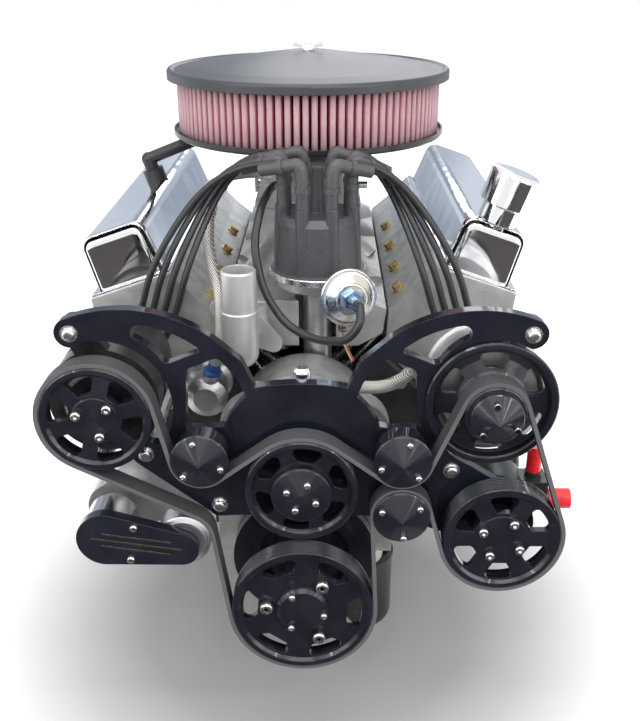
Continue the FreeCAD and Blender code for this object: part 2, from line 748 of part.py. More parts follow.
def make_head(name, side):
    """Aluminium head with valve seats, guides, pushrod holes, ports and plug bosses."""
    body = doc.addObject("PartDesign::Body", f"{name}_cylinder_head")
    middle = size("block_middle") - side * size("bank_stagger") / 2
    length = size("head_length")
    drawing = new_sketch(body, front_plane(middle - length / 2))
    draw(drawing, head_outline(side))
    pad(body, drawing, "Dims.head_length")
    tilt = math.radians(size("rail_tilt"))
    lean = (side * math.sin(tilt), 0, math.cos(tilt))
    seat_out = size("valve_out")
    deck = size("deck_height")
    # Combustion chambers
    drawing = new_sketch(body, frame_at(at(deck_point(side, deck, 0), 0), (0, -1, 0), (side, 0, 1)))
    for station in cylinder_stations(side):
        draw_circle(drawing, station, 0, size("bore") / 2 - 2)
    pocket(body, drawing, size("chamber_depth"), reverse=True)
    # Valve throats, each a little wider than its valve, and the guides
    base = rail_point(side, seat_out, -size("valve_length") - 30)
    drawing = new_sketch(body, frame_at(at(base, 0), (0, -1, 0), lean))
    for index, station in enumerate(valve_stations(side)):
        wide = size("intake_valve") if index % 4 in (0, 3) else size("exhaust_valve")
        draw_circle(drawing, station, 0, wide + 0.5)
    pocket(body, drawing, 46, reverse=True)
    drawing = new_sketch(body, frame_at(at(base, 0), (0, -1, 0), lean))
    for station in valve_stations(side):
        draw_circle(drawing, station, 0, size("stem_diameter") / 2 + 1.2)
    pocket(body, drawing, size("valve_length") + 40, reverse=True)
    # Pushrod holes in line with the lifters
    low = Vector(*lifter_top(side), 0)
    high = Vector(*rail_point(side, size("cup_out"), size("rocker_up")), 0)
    run = high - low
    drawing = new_sketch(body, frame_at((low.x, 0, low.y), (0, -1, 0), (run.x, 0, run.y)))
    for station in valve_stations(side):
        draw_circle(drawing, station, 0, size("pushrod_diameter") / 2 + 3)
    pocket(body, drawing, run.Length, reverse=True)
    # Exhaust ports and plug seats in the outer face
    face = Vector(28, 0, 146)
    normal = (side * face.z, 0, -face.x)
    up = (side * face.x, 0, face.z)
    start = Vector(side * 216, 0, 112)
    plane = frame_at(start + Vector(*normal).normalize() * 1, up, normal)
    wide = size("exhaust_port_width") / 2
    tall = size("exhaust_port_height")
    drawing = new_sketch(body, plane)
    for station in exhaust_stations(side):
        y = station if plane.Rotation.multVec(Vector(0, 1, 0)).y < 0 else -station
        draw(drawing, [(58, y - wide), (58 + tall, y - wide), (58 + tall, y + wide),
                       (58, y + wide)])
    pocket(body, drawing, "Dims.port_depth")
    drawing = new_sketch(body, plane)
    for station in cylinder_stations(side):
        y = station if plane.Rotation.multVec(Vector(0, 1, 0)).y < 0 else -station
        draw_circle(drawing, 24, y, size("plug_seat") / 2)
    pocket(body, drawing, size("plug_depth") + 1)
    return body


def join_pieces(label, parts):
    """Like castings that share one node as separate solids."""
    joined = doc.addObject("Part::Compound", label)
    joined.Label = label
    joined.Links = parts
    PIECES.append(joined)


def exhaust_stations(side):
    """Distances of a bank's four exhaust ports."""
    stations = cylinder_stations(side)
    shift = size("valve_offset")
    return [stations[0] - shift, stations[1] + shift - 30, stations[2] - shift + 30,
            stations[3] + shift]


def make_head_gaskets():
    """Two gaskets between the block and the heads."""
    solids = []
    thick = size("head_bottom_gap")
    deck = size("deck_height")
    for side in SIDES.values():
        inner = size("deck_inner")
        outer = size("deck_outer")
        outline = [deck_point(side, deck, -inner), deck_point(side, deck, outer),
                   deck_point(side, deck + thick, outer), deck_point(side, deck + thick, -inner)]
        stations = cylinder_stations(side)
        reach = size("bore_spacing") / 2
        front = min(stations[-1] + reach + 8, size("block_rear") + size("block_length") - 4)
        rear = max(stations[0] - reach - 8, size("block_rear") + 4)
        plate = extrude(outline, front_plane(rear), front - rear)
        for station in stations:
            middle = at(deck_point(side, deck - 1, 0), station)
            plate = plate.cut(cylinder(middle, (side, 0, 1), size("bore") / 2 + 1, thick + 2))
        solids.append(plate)
    group("head_gaskets", solids)


def cover_outline(side, inset, low):
    """Section of a valve cover, inset from its outer skin."""
    half = size("cover_width") / 2 - size("cover_flange") - inset
    tall = size("cover_height") - inset
    corner = 15 - inset * 0.5
    return [rail_point(side, -half, low), rail_point(side, -half + 3, tall - corner),
            (rail_point(side, -half + 3 + corner * 0.3, tall - corner * 0.3),
             rail_point(side, -half + 3 + corner, tall)),
            rail_point(side, half - 3 - corner, tall),
            (rail_point(side, half - 3 - corner * 0.3, tall - corner * 0.3),
             rail_point(side, half - 3, tall - corner)),
            rail_point(side, half, low)]


def make_valve_cover(name, side):
    """Pressed steel cover: a deep shell with a flat flange on the head's rail."""
    middle = size("block_middle") - side * size("bank_stagger") / 2
    length = size("cover_length")
    wall = size("cover_wall")
    flange = size("cover_flange")
    half = size("cover_width") / 2
    skin = extrude(cover_outline(side, 0, 0), front_plane(middle - length / 2 + flange),
                   length - 2 * flange)
    tilt = math.radians(size("rail_tilt"))
    rims = []
    for edge in skin.Edges:
        ends = (edge.BoundBox.YMin + edge.BoundBox.YMax) / 2
        flat = edge.BoundBox.YLength < 0.01
        centre = edge.CenterOfMass
        height = (centre.x * side - size("rail_middle_across")) * math.sin(tilt)
        height += (centre.z - size("rail_middle_height")) * math.cos(tilt)
        if flat and height > 20 and ends < 0:
            rims.append(edge)
    skin = skin.makeFillet(size("cover_round"), rims)
    plate = extrude([rail_point(side, -half, 0), rail_point(side, half, 0),
                     rail_point(side, half, 3), rail_point(side, -half, 3)],
                    front_plane(middle - length / 2), length)
    hollow = extrude(cover_outline(side, wall, -1),
                     front_plane(middle - length / 2 + flange + wall),
                     length - 2 * flange - 2 * wall)
    shell = skin.fuse(plate).cut(hollow)
    lean = (side * math.sin(tilt), 0, math.cos(tilt))
    if side > 0:
        spot = at(rail_point(side, 0, size("cover_height") - 10), size("breather_station"))
        hole = size("filler_neck") / 2 + size("running_gap")
    else:
        spot = at(rail_point(side, -20, size("cover_height") - 10), size("valve_station"))
        hole = size("grommet_hole") / 2
    shell = shell.cut(cylinder(spot, lean, hole, 20))
    keep_shape(f"{name}_valve_cover", shell.removeSplitter())


def make_breather():
    """Push-in oil filler cap with a breather drum over its neck."""
    body = new_body("oil_filler_cap")
    tall = size("breather_height")
    wide = size("breather_diameter") / 2
    neck = size("filler_neck") / 2
    revolve(body, [(0, -12), (neck, -12), (neck, 0.3), (wide - 6, 0.3), (wide - 6, 20), (wide, 22),
                   (wide, tall - 6), ((wide - 2, tall - 2), (wide - 6, tall)), (0, tall)],
            UPRIGHT)
    spot = rail_point(1, 0, size("cover_height"))
    place(body, station="-Dims.breather_station")
    body.Placement = Placement(Vector(spot[0], -size("breather_station"), spot[1]),
                               Rotation(Vector(0, 1, 0), size("rail_tilt")))


def make_pcv_valve():
    """Valve in the left cover with its elbow and the hose to the air cleaner."""
    tilt = math.radians(size("rail_tilt"))
    lean = Vector(-math.sin(tilt), 0, math.cos(tilt))
    spot = at(rail_point(-1, -20, size("cover_height") - 4), size("valve_station"))
    grommet = size("grommet_hole") / 2
    top = spot + lean * 34
    pieces = [bar(spot, spot + lean * 20, grommet - 0.3), bar(spot + lean * 4.3, top, 9)]
    reach = Vector(70, 12, 26)
    hose = bar(top, top + reach, 8)
    elbow = Part.makeSphere(9, top)
    return pieces[0].multiFuse([pieces[1], hose, elbow])


# Front of the engine

def make_timing_cover():
    """Cast cover over the timing set, open at the back, with the crank seal bore."""
    body = new_body("timing_cover")
    block_front = size("block_rear") + size("block_length")
    half = size("timing_half_width")
    drop = size("rail_drop") + 3
    arch = size("cam_height")
    outline = [(-half, -drop), (-half, 40), (-84, 96), (-78, arch + 20),
               ((0, arch + 96), (78, arch + 20)), (84, 96), (half, 40), (half, -drop)]
    drawing = new_sketch(body, front_plane(block_front))
    draw(drawing, outline)
    pad(body, drawing, size("cover_front") - block_front)
    wall = size("timing_wall")
    drawing = new_sketch(body, front_plane(block_front))
    cam = sprocket_radius(size("cam_teeth")) + 12
    draw(drawing, [(-46, -14), (-cam, arch - 10), ((0, arch + cam), (cam, arch - 10)), (46, -14),
                   ((0, -46), (-46, -14))])
    pocket(body, drawing, size("cover_front") - block_front - wall, reverse=True)
    drawing = new_sketch(body, front_plane(size("cover_front") + 1))
    draw_circle(drawing, 0, 0, size("balancer_hub") / 2 + size("running_gap"))
    pocket(body, drawing, wall + 4)
    # Round boss under the cover on which the oil filter seats
    boss = size("filter_boss") / 2
    drawing = new_sketch(body, plan_plane(-drop))
    draw_circle(drawing, size("filter_across"), -block_front - boss + 1, "Dims.filter_boss/2")
    seat = size("filter_bottom") - size("filter_length") - size("filter_gap")
    pad(body, drawing, seat - drop, reverse=True)


def make_oil_pan():
    """Pressed pan with a deep rear sump and a shallow tray under the front."""
    wall = size("pan_wall")
    top = -size("rail_drop")
    rear = -size("block_rear") - 2
    front = -size("block_rear") - size("block_length") + 2

    def sump(inset):
        half = size("pan_half_width") - inset
        low = -size("pan_depth") + inset
        corner = size("pan_corner") - inset
        return extrude([(-half, top + inset), (-half, low + corner),
                        ((-half + corner * 0.3, low + corner * 0.3), (-half + corner, low)),
                        (half - corner, low),
                        ((half - corner * 0.3, low + corner * 0.3), (half, low + corner)),
                        (half, top + inset)],
                       front_plane(size("sump_rear") + inset),
                       size("sump_front") - size("sump_rear") - 2 * inset)

    def tray(inset, start, end, depth, half):
        return box((-half + inset, start + inset, -depth + inset),
                   (half - inset, end - inset, top + inset))

    shallow = size("pan_front_depth")
    narrow = size("pan_front_half")
    end_half = size("cap_half_width") + 10
    end_depth = size("cap_depth") + 16
    step = -size("tray_front")
    left_end = 12
    outer = sump(0).multiFuse([tray(0, step, -200, shallow, narrow),
                               box((-narrow, front, -shallow), (left_end, -200, top)),
                               tray(0, front, step + 8, end_depth - 8, end_half),
                               tray(0, -100, rear, end_depth, end_half),
                               box((-size("rail_half_width"), front, top - size("pan_flange")),
                                   (size("rail_half_width"), rear, top))])
    inner = sump(wall).multiFuse([tray(wall, step, -200, shallow, narrow),
                                  box((-narrow + wall, front + wall, -shallow + wall),
                                      (left_end - wall, -200 - wall, top + wall)),
                                  tray(wall, front, step + 8 + 2 * wall, end_depth - 8, end_half),
                                  tray(wall, -100, rear, end_depth, end_half),
                                  cylinder((0, rear - 2 * wall, 0), (0, 1, 0),
                                           size("seal_journal") / 2 + 0.3, 4 * wall)])
    keep_shape("oil_pan", outer.cut(inner).removeSplitter())


def make_balancer():
    """Harmonic balancer: hub, web and an outer inertia ring."""
    body = new_body("harmonic_balancer")
    wide = size("balancer_diameter") / 2
    hub = size("balancer_hub") / 2
    bore = size("snout_diameter") / 2
    front = -size("balancer_front")
    rear = -size("balancer_rear")
    revolve(body, [(bore, front - 8), (hub + 14, front - 8), (hub + 14, front + 10),
                   (wide - 30, front + 10), (wide - 30, front), (wide, front),
                   (wide, front + 16), (wide - 3, front + 17), (wide - 3, front + 20),
                   (wide, front + 21), (wide, rear), (wide - 30, rear), (wide - 30, rear - 12),
                   (hub, rear - 12), (hub, -size("cover_front") + size("timing_wall") + 2),
                   (bore, -size("cover_front") + size("timing_wall") + 2)], TURNED)


def make_oil_filter():
    """Spin-on filter canister with a domed end and a rolled seam."""
    body = new_body("oil_filter")
    wide = size("filter_diameter") / 2
    tall = size("filter_length")
    revolve(body, [(0, 0), (wide - 16, 0), ((wide - 5, 4), (wide, 16)), (wide, tall - 10),
                   (wide + 1.5, tall - 8), (wide + 1.5, tall - 3), (wide - 4, tall), (0, tall)],
            UPRIGHT)
    place(body, across="Dims.filter_across", station="-Dims.filter_front",
          height="-Dims.filter_bottom")


# Belt drive

def pulley_steps(diameter):
    """Grooved rim of a pulley: radius against distance along the axis from the belt plane."""
    radius = diameter / 2
    half = size("pulley_width") / 2
    pitch = size("rib_pitch")
    count = int(size("ribs"))
    depth = size("rib_depth")
    start = -pitch * count / 2
    steps = [(radius - 1.5, -half), (radius, -half + 1)]
    for index in range(count):
        steps += [(radius, start + index * pitch + 0.3),
                  (radius - depth, start + (index + 0.5) * pitch),
                  (radius, start + (index + 1) * pitch - 0.3)]
    steps += [(radius, half - 1), (radius - 1.5, half)]
    return steps


def belt_wheels():
    """Pulleys in the order of the belt's travel, with the belt's middle radius and turn."""
    lift = size("belt_gap") + size("belt_thickness") / 2

    def wheel(across, height, diameter, turn):
        return (across, height, diameter / 2 + lift, turn)

    idler = size("idler")
    return [wheel(0, 0, size("crank_pulley"), -1),
            wheel(-size("tensioner_across"), size("tensioner_height"),
                  size("tensioner_pulley"), 1),
            wheel(-size("compressor_across"), size("compressor_height"),
                  size("compressor_pulley"), -1),
            wheel(-size("idler_across"), size("idler_height"), idler, 1),
            wheel(0, size("pump_height"), size("pump_pulley"), -1),
            wheel(size("idler_across"), size("idler_height"), idler, 1),
            wheel(size("alternator_across"), size("alternator_height"),
                  size("alternator_pulley"), -1),
            wheel(size("steering_across"), size("steering_height"),
                  size("steering_pulley"), -1),
            wheel(size("lower_idler_across"), size("lower_idler_height"), idler, 1)]


def make_belt():
    """Flat-backed ribbed belt, laid round every pulley on its true tangents."""
    station = size("belt_plane") - size("belt_width") / 2
    keep_shape("drive_belt", loop_band(belt_wheels(), size("belt_thickness") / 2, station,
                                       size("belt_width")))


def spoke_windows(body, inner, outer, share, count, first, front, depth):
    """Cut rounded windows between the spokes of a pulley's web."""
    drawing = new_sketch(body, front_plane(front))
    half = math.pi / count * share
    turn = math.radians(first)

    def spot(radius, angle):
        return (radius * math.cos(turn + angle), radius * math.sin(turn + angle))

    narrow = half * 0.72
    draw(drawing, [spot(inner, -narrow), spot(outer - 6, -half),
                   (spot(outer - 1.5, -half + 0.03), spot(outer, -half + 0.12)),
                   (spot(outer, 0), spot(outer, half - 0.12)),
                   (spot(outer - 1.5, half - 0.03), spot(outer - 6, half)),
                   spot(inner, narrow)])
    window = pocket(body, drawing, depth)
    repeat(body, window, drawing, count)


def bolt_heads(body, radius, angles, head, front, length):
    """Round bolt heads that stand on a pulley's face."""
    drawing = new_sketch(body, front_plane(front))
    for angle in angles:
        turn = math.radians(angle)
        draw_circle(drawing, radius * math.cos(turn), radius * math.sin(turn), head / 2)
    pad(body, drawing, length)


def ribbed_pulley(label, diameter, web_front, hub_steps, rear_steps):
    """Billet pulley: grooved rim, dished web and a hub given by its own steps."""
    body = new_body(label)
    plane = -size("belt_plane")
    half = size("pulley_width") / 2
    radius = diameter / 2
    rim = [(r, plane + y) for r, y in pulley_steps(diameter)]
    inside = radius - size("rim_thickness")
    steps = [(0, hub_steps[0][1])] + hub_steps
    steps += [(inside - 3, web_front), (inside, web_front - 3), (inside, plane - half)]
    steps += rim
    steps += [(inside, plane + half), (inside, web_front + size("web_depth"))]
    steps += rear_steps
    revolve(body, steps, TURNED)
    return body


def make_crank_pulley():
    """Crank pulley with six windows, three big bolts and a small bolted cap."""
    plane = -size("belt_plane")
    half = size("pulley_width") / 2
    cap = size("crank_cap") / 2
    face = plane - half + 4
    back = size("snout_front")
    hub = 26
    bore = size("snout_diameter") / 2
    reach = size("balancer_front") + 8
    body = ribbed_pulley("crank_pulley", size("crank_pulley"), face,
                         [(cap - 4, face - 5), (cap, face - 2), (cap, face)],
                         [(hub + 4, face + size("web_depth")), (hub, plane + half),
                          (hub, -reach), (bore, -reach), (bore, -back - 0.5),
                          (0, -back - 0.5)])
    place(body)
    spoke_windows(body, 49, 63.5, 0.62, 6, 55, size("belt_plane") + half + 1,
                  2 * half)
    bolt_heads(body, 38.5, (57, 173, -63), 13, -face, 6)
    bolt_heads(body, 23, (118, -9, -122), 6.5, -face + 5, 2.5)


def make_water_pump():
    """Pump body, its pulley with the capped nose, and the shaft with the impeller."""
    plane = -size("belt_plane")
    half = size("pulley_width") / 2
    face = plane - half + 5
    nose = size("pump_nose") / 2
    axle = size("axle") / 2
    inner_end = -size("cover_front") - size("pump_chamber") + 18
    body = ribbed_pulley("water_pump_pulley", size("pump_pulley"), face,
                         [(4, face - 17), (nose - 2, face - 11), (nose, face - 10),
                          (nose, face)],
                         [(22, face + size("web_depth")), (22, -size("bracket_front") - 1),
                          (axle, -size("bracket_front") - 1), (axle, inner_end),
                          (0, inner_end)])
    place(body, height="Dims.pump_height")
    spoke_windows(body, 33, 47, 0.66, 6, 82, size("belt_plane") + half + 1, 2 * half)
    bolt_heads(body, 15.6, (67, 157, 247, 337), 6.5, -face + 12, 4.5)
    impeller = new_body("water_pump_impeller")
    place(impeller, height="Dims.pump_height")
    revolve(impeller, [(axle, inner_end + 0.2 - 9), (32, inner_end - 3), (34, inner_end + 0.2),
                       (34, inner_end + 3), (0, inner_end + 3), (0, inner_end + 0.2),
                       (axle, inner_end + 0.2)], TURNED)
    drawing = new_sketch(impeller, front_plane(-inner_end - 1))
    draw(drawing, [(10, -1.5), (32, -1.5), (32, 1.5), (10, 1.5)])
    vane = pad(impeller, drawing, 10)
    repeat(impeller, vane, drawing, 6)


def make_pump_body():
    """Cast water pump: chamber on the timing cover, snout behind the bracket and two inlets."""
    high = size("pump_height")
    back = -size("cover_front")
    chamber = size("pump_chamber")
    axle = size("axle") / 2 + size("running_gap")
    bracket_back = -size("bracket_front") + size("bracket_thickness")
    foot = extrude([(-86, high - 30), ((-96, high + 6), (-80, high + 34)),
                    ((0, high + 58), (80, high + 34)), ((96, high + 6), (86, high - 30)),
                    ((60, high - 52), (0, high - 62)), ((-60, high - 52), (-86, high - 30))],
                   front_plane(-back), chamber)
    collar = size("snout_collar")
    snout = turned([(0, 0), (40, 0), (30, 20), (30, 40), (collar, 46),
                    (collar, -bracket_back - size("cover_front") - chamber),
                    (0, -bracket_back - size("cover_front") - chamber)],
                   (0, back - chamber, high), (0, -1, 0))
    shape = foot.fuse(snout)
    shape = shape.cut(cylinder((0, 0, high), (0, -1, 0), axle, 1000))
    shape = shape.cut(cylinder((0, back, high), (0, -1, 0), 37, chamber - 5))
    keep_shape("water_pump_body", shape.removeSplitter())


def idler_pulley(label, across, height, diameter, angles):
    """Flat idler with a coned cap, three small bolts and its axle."""
    body = new_body(label)
    plane = -size("belt_plane")
    half = size("pulley_width") / 2
    radius = diameter / 2
    cap = size("idler_cap") / 2
    axle = size("axle") / 2
    end = -size("bracket_front") + size("bracket_thickness") - 1
    revolve(body, [(0, plane - half - size("idler_cone")), (cap - 1.5, plane - half - 1),
                   (cap, plane - half), (cap, plane - half + 1.4), (radius, plane - half + 1.4),
                   (radius, plane + half - 1),
                   (radius - 1.5, plane + half), (axle + 5, plane + half),
                   (axle + 5, -size("bracket_front") - 0.3), (axle, -size("bracket_front") - 0.3),
                   (axle, end), (0, end)], TURNED)
    place(body, across=across, height=height)
    bolt_heads(body, 22, angles, 6, size("belt_plane") + half + 1, 4.5)


def make_idlers():
    """The three flat idlers of the belt."""
    idler_pulley("left_idler_pulley", "-Dims.idler_across", "Dims.idler_height",
                 size("idler"), (103, 223, 343))
    idler_pulley("right_upper_idler_pulley", "Dims.idler_across", "Dims.idler_height",
                 size("idler"), (75, 195, 315))
    idler_pulley("right_lower_idler_pulley", "Dims.lower_idler_across",
                 "Dims.lower_idler_height", size("idler"), (36, 156, 276))


# Accessories and their pulleys

def make_compressor():
    """Compressor with its ear on the bracket, and the clutch disc on the grooved pulley."""
    plane = -size("belt_plane")
    half = size("pulley_width") / 2
    face = plane - half + 3
    axle = size("axle") / 2
    end = -size("bracket_front") + size("bracket_thickness") + 30
    body = ribbed_pulley("compressor_pulley", size("compressor_pulley"), face,
                         [(22, face - 0.5), (23, face)],
                         [(24, face + size("web_depth")), (24, -size("bracket_front") - 2),
                          (axle, -size("bracket_front") - 2), (axle, end), (0, end)])
    place(body, across="-Dims.compressor_across", height="Dims.compressor_height")
    spoke_windows(body, 27, 46.5, 0.62, 6, 106.5, size("belt_plane") + half + 1, 2 * half)
    bolt_heads(body, 18, (43, 163, -77), 9, -face, 4.5)
    x = -size("compressor_across")
    z = size("compressor_height")
    back = -size("bracket_front") + size("bracket_thickness") + 0.3
    radius = size("compressor_radius")
    front = -size("bracket_front") + 1
    steps = [(0, 0), (34, 0), (38, 4), (38, back - front - 1), (radius, back - front),
             (radius, 40), (radius - 3, 42), (radius - 3, 50), (radius, 52), (radius, 96),
             (radius - 5, 100), (radius - 5, 126), (radius - 14, 136), (0, 136)]
    shape = turned(steps, (x, front, z), (0, 1, 0))
    ear = accessory_ear((x - 4, z + radius - 10), (-size("tip_across"), size("tip_height")), 16, 13)
    shape = shape.fuse(ear)
    bore = cylinder((x, front - 1, z), (0, 1, 0), axle + size("running_gap"), end - front + 4)
    keep_shape("compressor_body", shape.cut(bore).removeSplitter())


def accessory_ear(foot, tip, wide, thick):
    """A flat ear behind the bracket from an accessory to one of the bracket's bolts."""
    back = -size("bracket_front") + size("bracket_thickness") + 0.1
    start = Vector(foot[0], foot[1], 0)
    end = Vector(tip[0], tip[1], 0)
    ahead = (end - start).normalize()
    left = Vector(-ahead.y, ahead.x, 0)
    radius = size("tip_radius") - 2
    corner = [start + left * wide, start - left * wide, end - left * radius,
              end + ahead * radius, end + left * radius]
    steps = [(corner[0].x, corner[0].y), (corner[1].x, corner[1].y), (corner[2].x, corner[2].y),
             ((corner[3].x, corner[3].y), (corner[4].x, corner[4].y))]
    return extrude(steps, front_plane(-back - thick), thick)


def make_alternator():
    """Alternator with windings behind its fan, and the pulley with the spoked fan ring."""
    body = new_body("alternator_pulley")
    plane = -size("belt_plane")
    half = size("pulley_width") / 2
    radius = size("alternator_pulley") / 2
    axle = size("axle") / 2
    fan = size("fan_diameter") / 2
    fan_front = plane + half - 1
    cone = plane - half - 20
    end = -size("bracket_front") + size("bracket_thickness") + 40
    nose = size("alternator_nose") / 2
    rim = [(r, plane + y) for r, y in pulley_steps(size("alternator_pulley"))]
    revolve(body, [(0, cone), (nose - 1, plane - half - 7), (nose, plane - half - 6),
                   (nose, plane - half)] + rim[:-1] +
            [(radius + 1, fan_front), (36, fan_front + 3), (48, fan_front + 7),
             (fan - 10, fan_front + 7), (fan - 8, fan_front + 1), (fan - 6, fan_front),
             (fan - 1.5, fan_front), (fan, fan_front + 1.5), (fan, fan_front + 4.5),
             (fan - 9, fan_front + 4.6), (fan - 10, fan_front + 10), (46, fan_front + 10),
             (30, fan_front + 6), (16, fan_front + 8), (16, -size("bracket_front") + 5),
             (axle, -size("bracket_front") + 5), (axle, end), (0, end)], TURNED)
    place(body, across="Dims.alternator_across", height="Dims.alternator_height")
    spoke_windows(body, 38, 54, 0.56, 6, 90, -fan_front + 1, 16)
    bolt_heads(body, 19, (100, 220, 340), 6, -plane + half + 11, 8)
    x = size("alternator_across")
    z = size("alternator_height")
    back = -size("bracket_front") + size("bracket_thickness") + 0.3
    wide = size("alternator_radius")
    steps = [(0, 0), (17, 0), (20, 4), (30, 6), (30, 10), (wide - 10, 10), (wide - 6, 0), (wide, 3),
             (wide, 34), (wide - 3, 36), (wide - 3, 54), (wide, 56), (wide, 88),
             (wide - 8, 100), (0, 100)]
    shape = turned(steps, (x, back, z), (0, 1, 0))
    shape = shape.fuse(accessory_ear((x + 16, z + wide - 1),
                                     (size("tip_across"), size("tip_height")), 14, 13))
    bore = cylinder((x, back - 1, z), (0, 1, 0), axle + size("running_gap"), end - back + 4)
    ring = turned([(32, 4.3), (wide - 11, 4.3), (wide - 11, 9.9), (32, 9.9)], (x, back, z), (0, 1, 0))
    group("alternator_body", [shape.cut(bore).removeSplitter(), ring])


def make_steering_pump():
    """Steering pump behind the bracket, its pulley, and the red caps on its open ports."""
    plane = -size("belt_plane")
    half = size("pulley_width") / 2
    face = plane - half + 3
    axle = size("axle") / 2
    end = -size("bracket_front") + size("bracket_thickness") + 30
    body = ribbed_pulley("steering_pulley", size("steering_pulley"), face,
                         [(26, face - 0.5), (27, face)],
                         [(28, face + size("web_depth")), (28, plane + half),
                          (axle + 5, plane + half), (axle + 5, -size("bracket_front") - 0.3),
                          (axle, -size("bracket_front") - 0.3), (axle, end), (0, end)])
    place(body, across="Dims.steering_across", height="Dims.steering_height")
    spoke_windows(body, 31, 50, 0.6, 6, 90, size("belt_plane") + half + 1, 2 * half)
    bolt_heads(body, 22, (60, 154, -31, -121), 9, -face, 4.5)
    x = size("steering_across")
    z = size("steering_height")
    back = -size("bracket_front") + size("bracket_thickness")
    steps = [(0, 0), (34, 0), (34, 12), (42, 16), (42, 60), (36, 66), (28, 84), (0, 84)]
    shape = turned(steps, (x, back, z), (0, 1, 0))
    port = Vector(x + 30, back + 34, z + 2)
    side_end = port + Vector(32, 0, 0)
    tank = box((x + 20, back + 20, z + 6), (x + 58, back + 50, z + 30))
    riser = Vector(x + 44, back + 35, z + 28)
    shape = shape.multiFuse([bar(port, side_end, 13), tank, bar(riser, riser + Vector(0, 0, 9), 9)])
    shape = shape.cut(cylinder((x, back - 1, z), (0, 1, 0), axle + size("running_gap"),
                               end - back + 4))
    keep_shape("steering_pump_body", shape.removeSplitter())
    side_cap = bar(side_end + Vector(0.05, 0, 0), side_end + Vector(24, 0, 0), 11)
    top = riser + Vector(0, 0, 9)
    top_cap = bar(top + Vector(0, 0, 0.05), top + Vector(0, 0, 30), 8)
    group("port_caps", [side_cap, top_cap])


def make_tensioner():
    """Tensioner: a base behind the bracket, a sprung arm under its oval cover, and a pulley."""
    x = -size("arm_pivot_across")
    z = size("arm_pivot_height")
    back = -size("bracket_front") + size("bracket_thickness")
    plane = -size("belt_plane")
    half = size("pulley_width") / 2
    axle = size("axle") / 2
    thick = size("tensioner_plate")
    lug = (-size("lug_across"), size("lug_height"))
    foot = (-size("foot_across"), size("foot_height"))
    steps = [(x - 30, z), ((x - 8, z - 29), (x + 20, z - 22)), (foot[0] + 4, foot[1] - 12),
             ((foot[0] + 12, foot[1] + 2), (foot[0] + 2, foot[1] + 12)),
             (lug[0] + 12, lug[1] + 2), ((lug[0] + 2, lug[1] + 10), (lug[0] - 10, lug[1] + 2)),
             (x - 12, z + 28), ((x - 26, z + 16), (x - 30, z))]
    base = extrude(steps, front_plane(-back - thick), thick)
    drum = turned([(0, 0), (30, 0), (30, 22), (22, 30), (0, 30)], (x, back + thick, z), (0, 1, 0))
    base = base.fuse(drum)
    base = base.cut(cylinder((x, back - 1, z), (0, 1, 0), axle + size("running_gap"), 34))
    keep_shape("tensioner_base", base.removeSplitter())
    front = plane - half - 16
    cover_back = front + size("cover_plate")
    body = new_body("tensioner_arm")
    place(body, across="-Dims.arm_pivot_across", height="Dims.arm_pivot_height")
    reach = Vector(size("arm_pivot_across") - size("tensioner_across"),
                   size("tensioner_height") - size("arm_pivot_height"), 0)
    ahead = Vector(reach).normalize()
    left = Vector(-ahead.y, ahead.x, 0)
    big = size("arm_big_end")
    small = size("arm_small_end")

    def spot(base_point, along, aside):
        point = base_point + ahead * along + left * aside
        return (point.x, point.y)

    zero = Vector(0, 0, 0)
    drawing = new_sketch(body, front_plane(-cover_back))
    draw(drawing, [spot(zero, 3, big), (spot(zero, -big, 0), spot(zero, 3, -big)),
                   spot(reach, 2, -small), (spot(reach, small, 0), spot(reach, 2, small))])
    pad(body, drawing, "Dims.cover_plate")
    drawing = new_sketch(body, front_plane(-cover_back + size("cover_plate") + 0.01))
    for shift, start, end in ((7, -4, 66), (0, -14, 78), (-7, -4, 66)):
        draw(drawing, [spot(zero, start, shift - 0.6), spot(zero, end, shift - 0.6),
                       spot(zero, end, shift + 0.6), spot(zero, start, shift + 0.6)])
    pocket(body, drawing, 1.2)
    drawing = new_sketch(body, front_plane(-cover_back))
    draw_circle(drawing, 0, 0, big - 3)
    pad(body, drawing, -size("bracket_front") - cover_back - 0.3, reverse=True)
    drawing = new_sketch(body, front_plane(size("bracket_front") + 1))
    draw_circle(drawing, 0, 0, "Dims.axle/2")
    pad(body, drawing, size("bracket_thickness") + 28, reverse=True)
    drawing = new_sketch(body, front_plane(-cover_back))
    draw_circle(drawing, reach.x, reach.y, "Dims.axle/2")
    pad(body, drawing, plane + half - cover_back - 1, reverse=True)
    drawing = new_sketch(body, front_plane(-front - 0.01))
    middle = reach * 0.36
    for shift in (-19, 19):
        point = middle + left * shift
        draw_circle(drawing, point.x, point.y, 3.4)
    pad(body, drawing, 2.5)
    pulley = new_body("tensioner_pulley")
    place(pulley, across="-Dims.tensioner_across", height="Dims.tensioner_height")
    radius = size("tensioner_pulley") / 2
    bore = axle + size("running_gap")
    revolve(pulley, [(bore, plane - half), (radius - 6, plane - half), (radius - 5, plane - half + 2),
                     (radius - 2, plane - half), (radius, plane - half + 1),
                     (radius, plane + half - 1), (radius - 1.5, plane + half),
                     (bore, plane + half)], TURNED)


# Accessory bracket

def mirror_steps(steps):
    """An outline mirrored left to right and drawn the other way round."""
    def flip(point):
        return (-point[0], point[1])

    flat = []
    for step in steps:
        if isinstance(step[0], (tuple, list)):
            flat.append(("middle", step[0]))
            flat.append(("point", step[1]))
        else:
            flat.append(("point", step))
    flat.reverse()
    result = []
    middle = None
    for kind, point in flat:
        if kind == "middle":
            middle = flip(point)
        elif middle is not None:
            result.append((middle, flip(point)))
            middle = None
        else:
            result.append(flip(point))
    return result


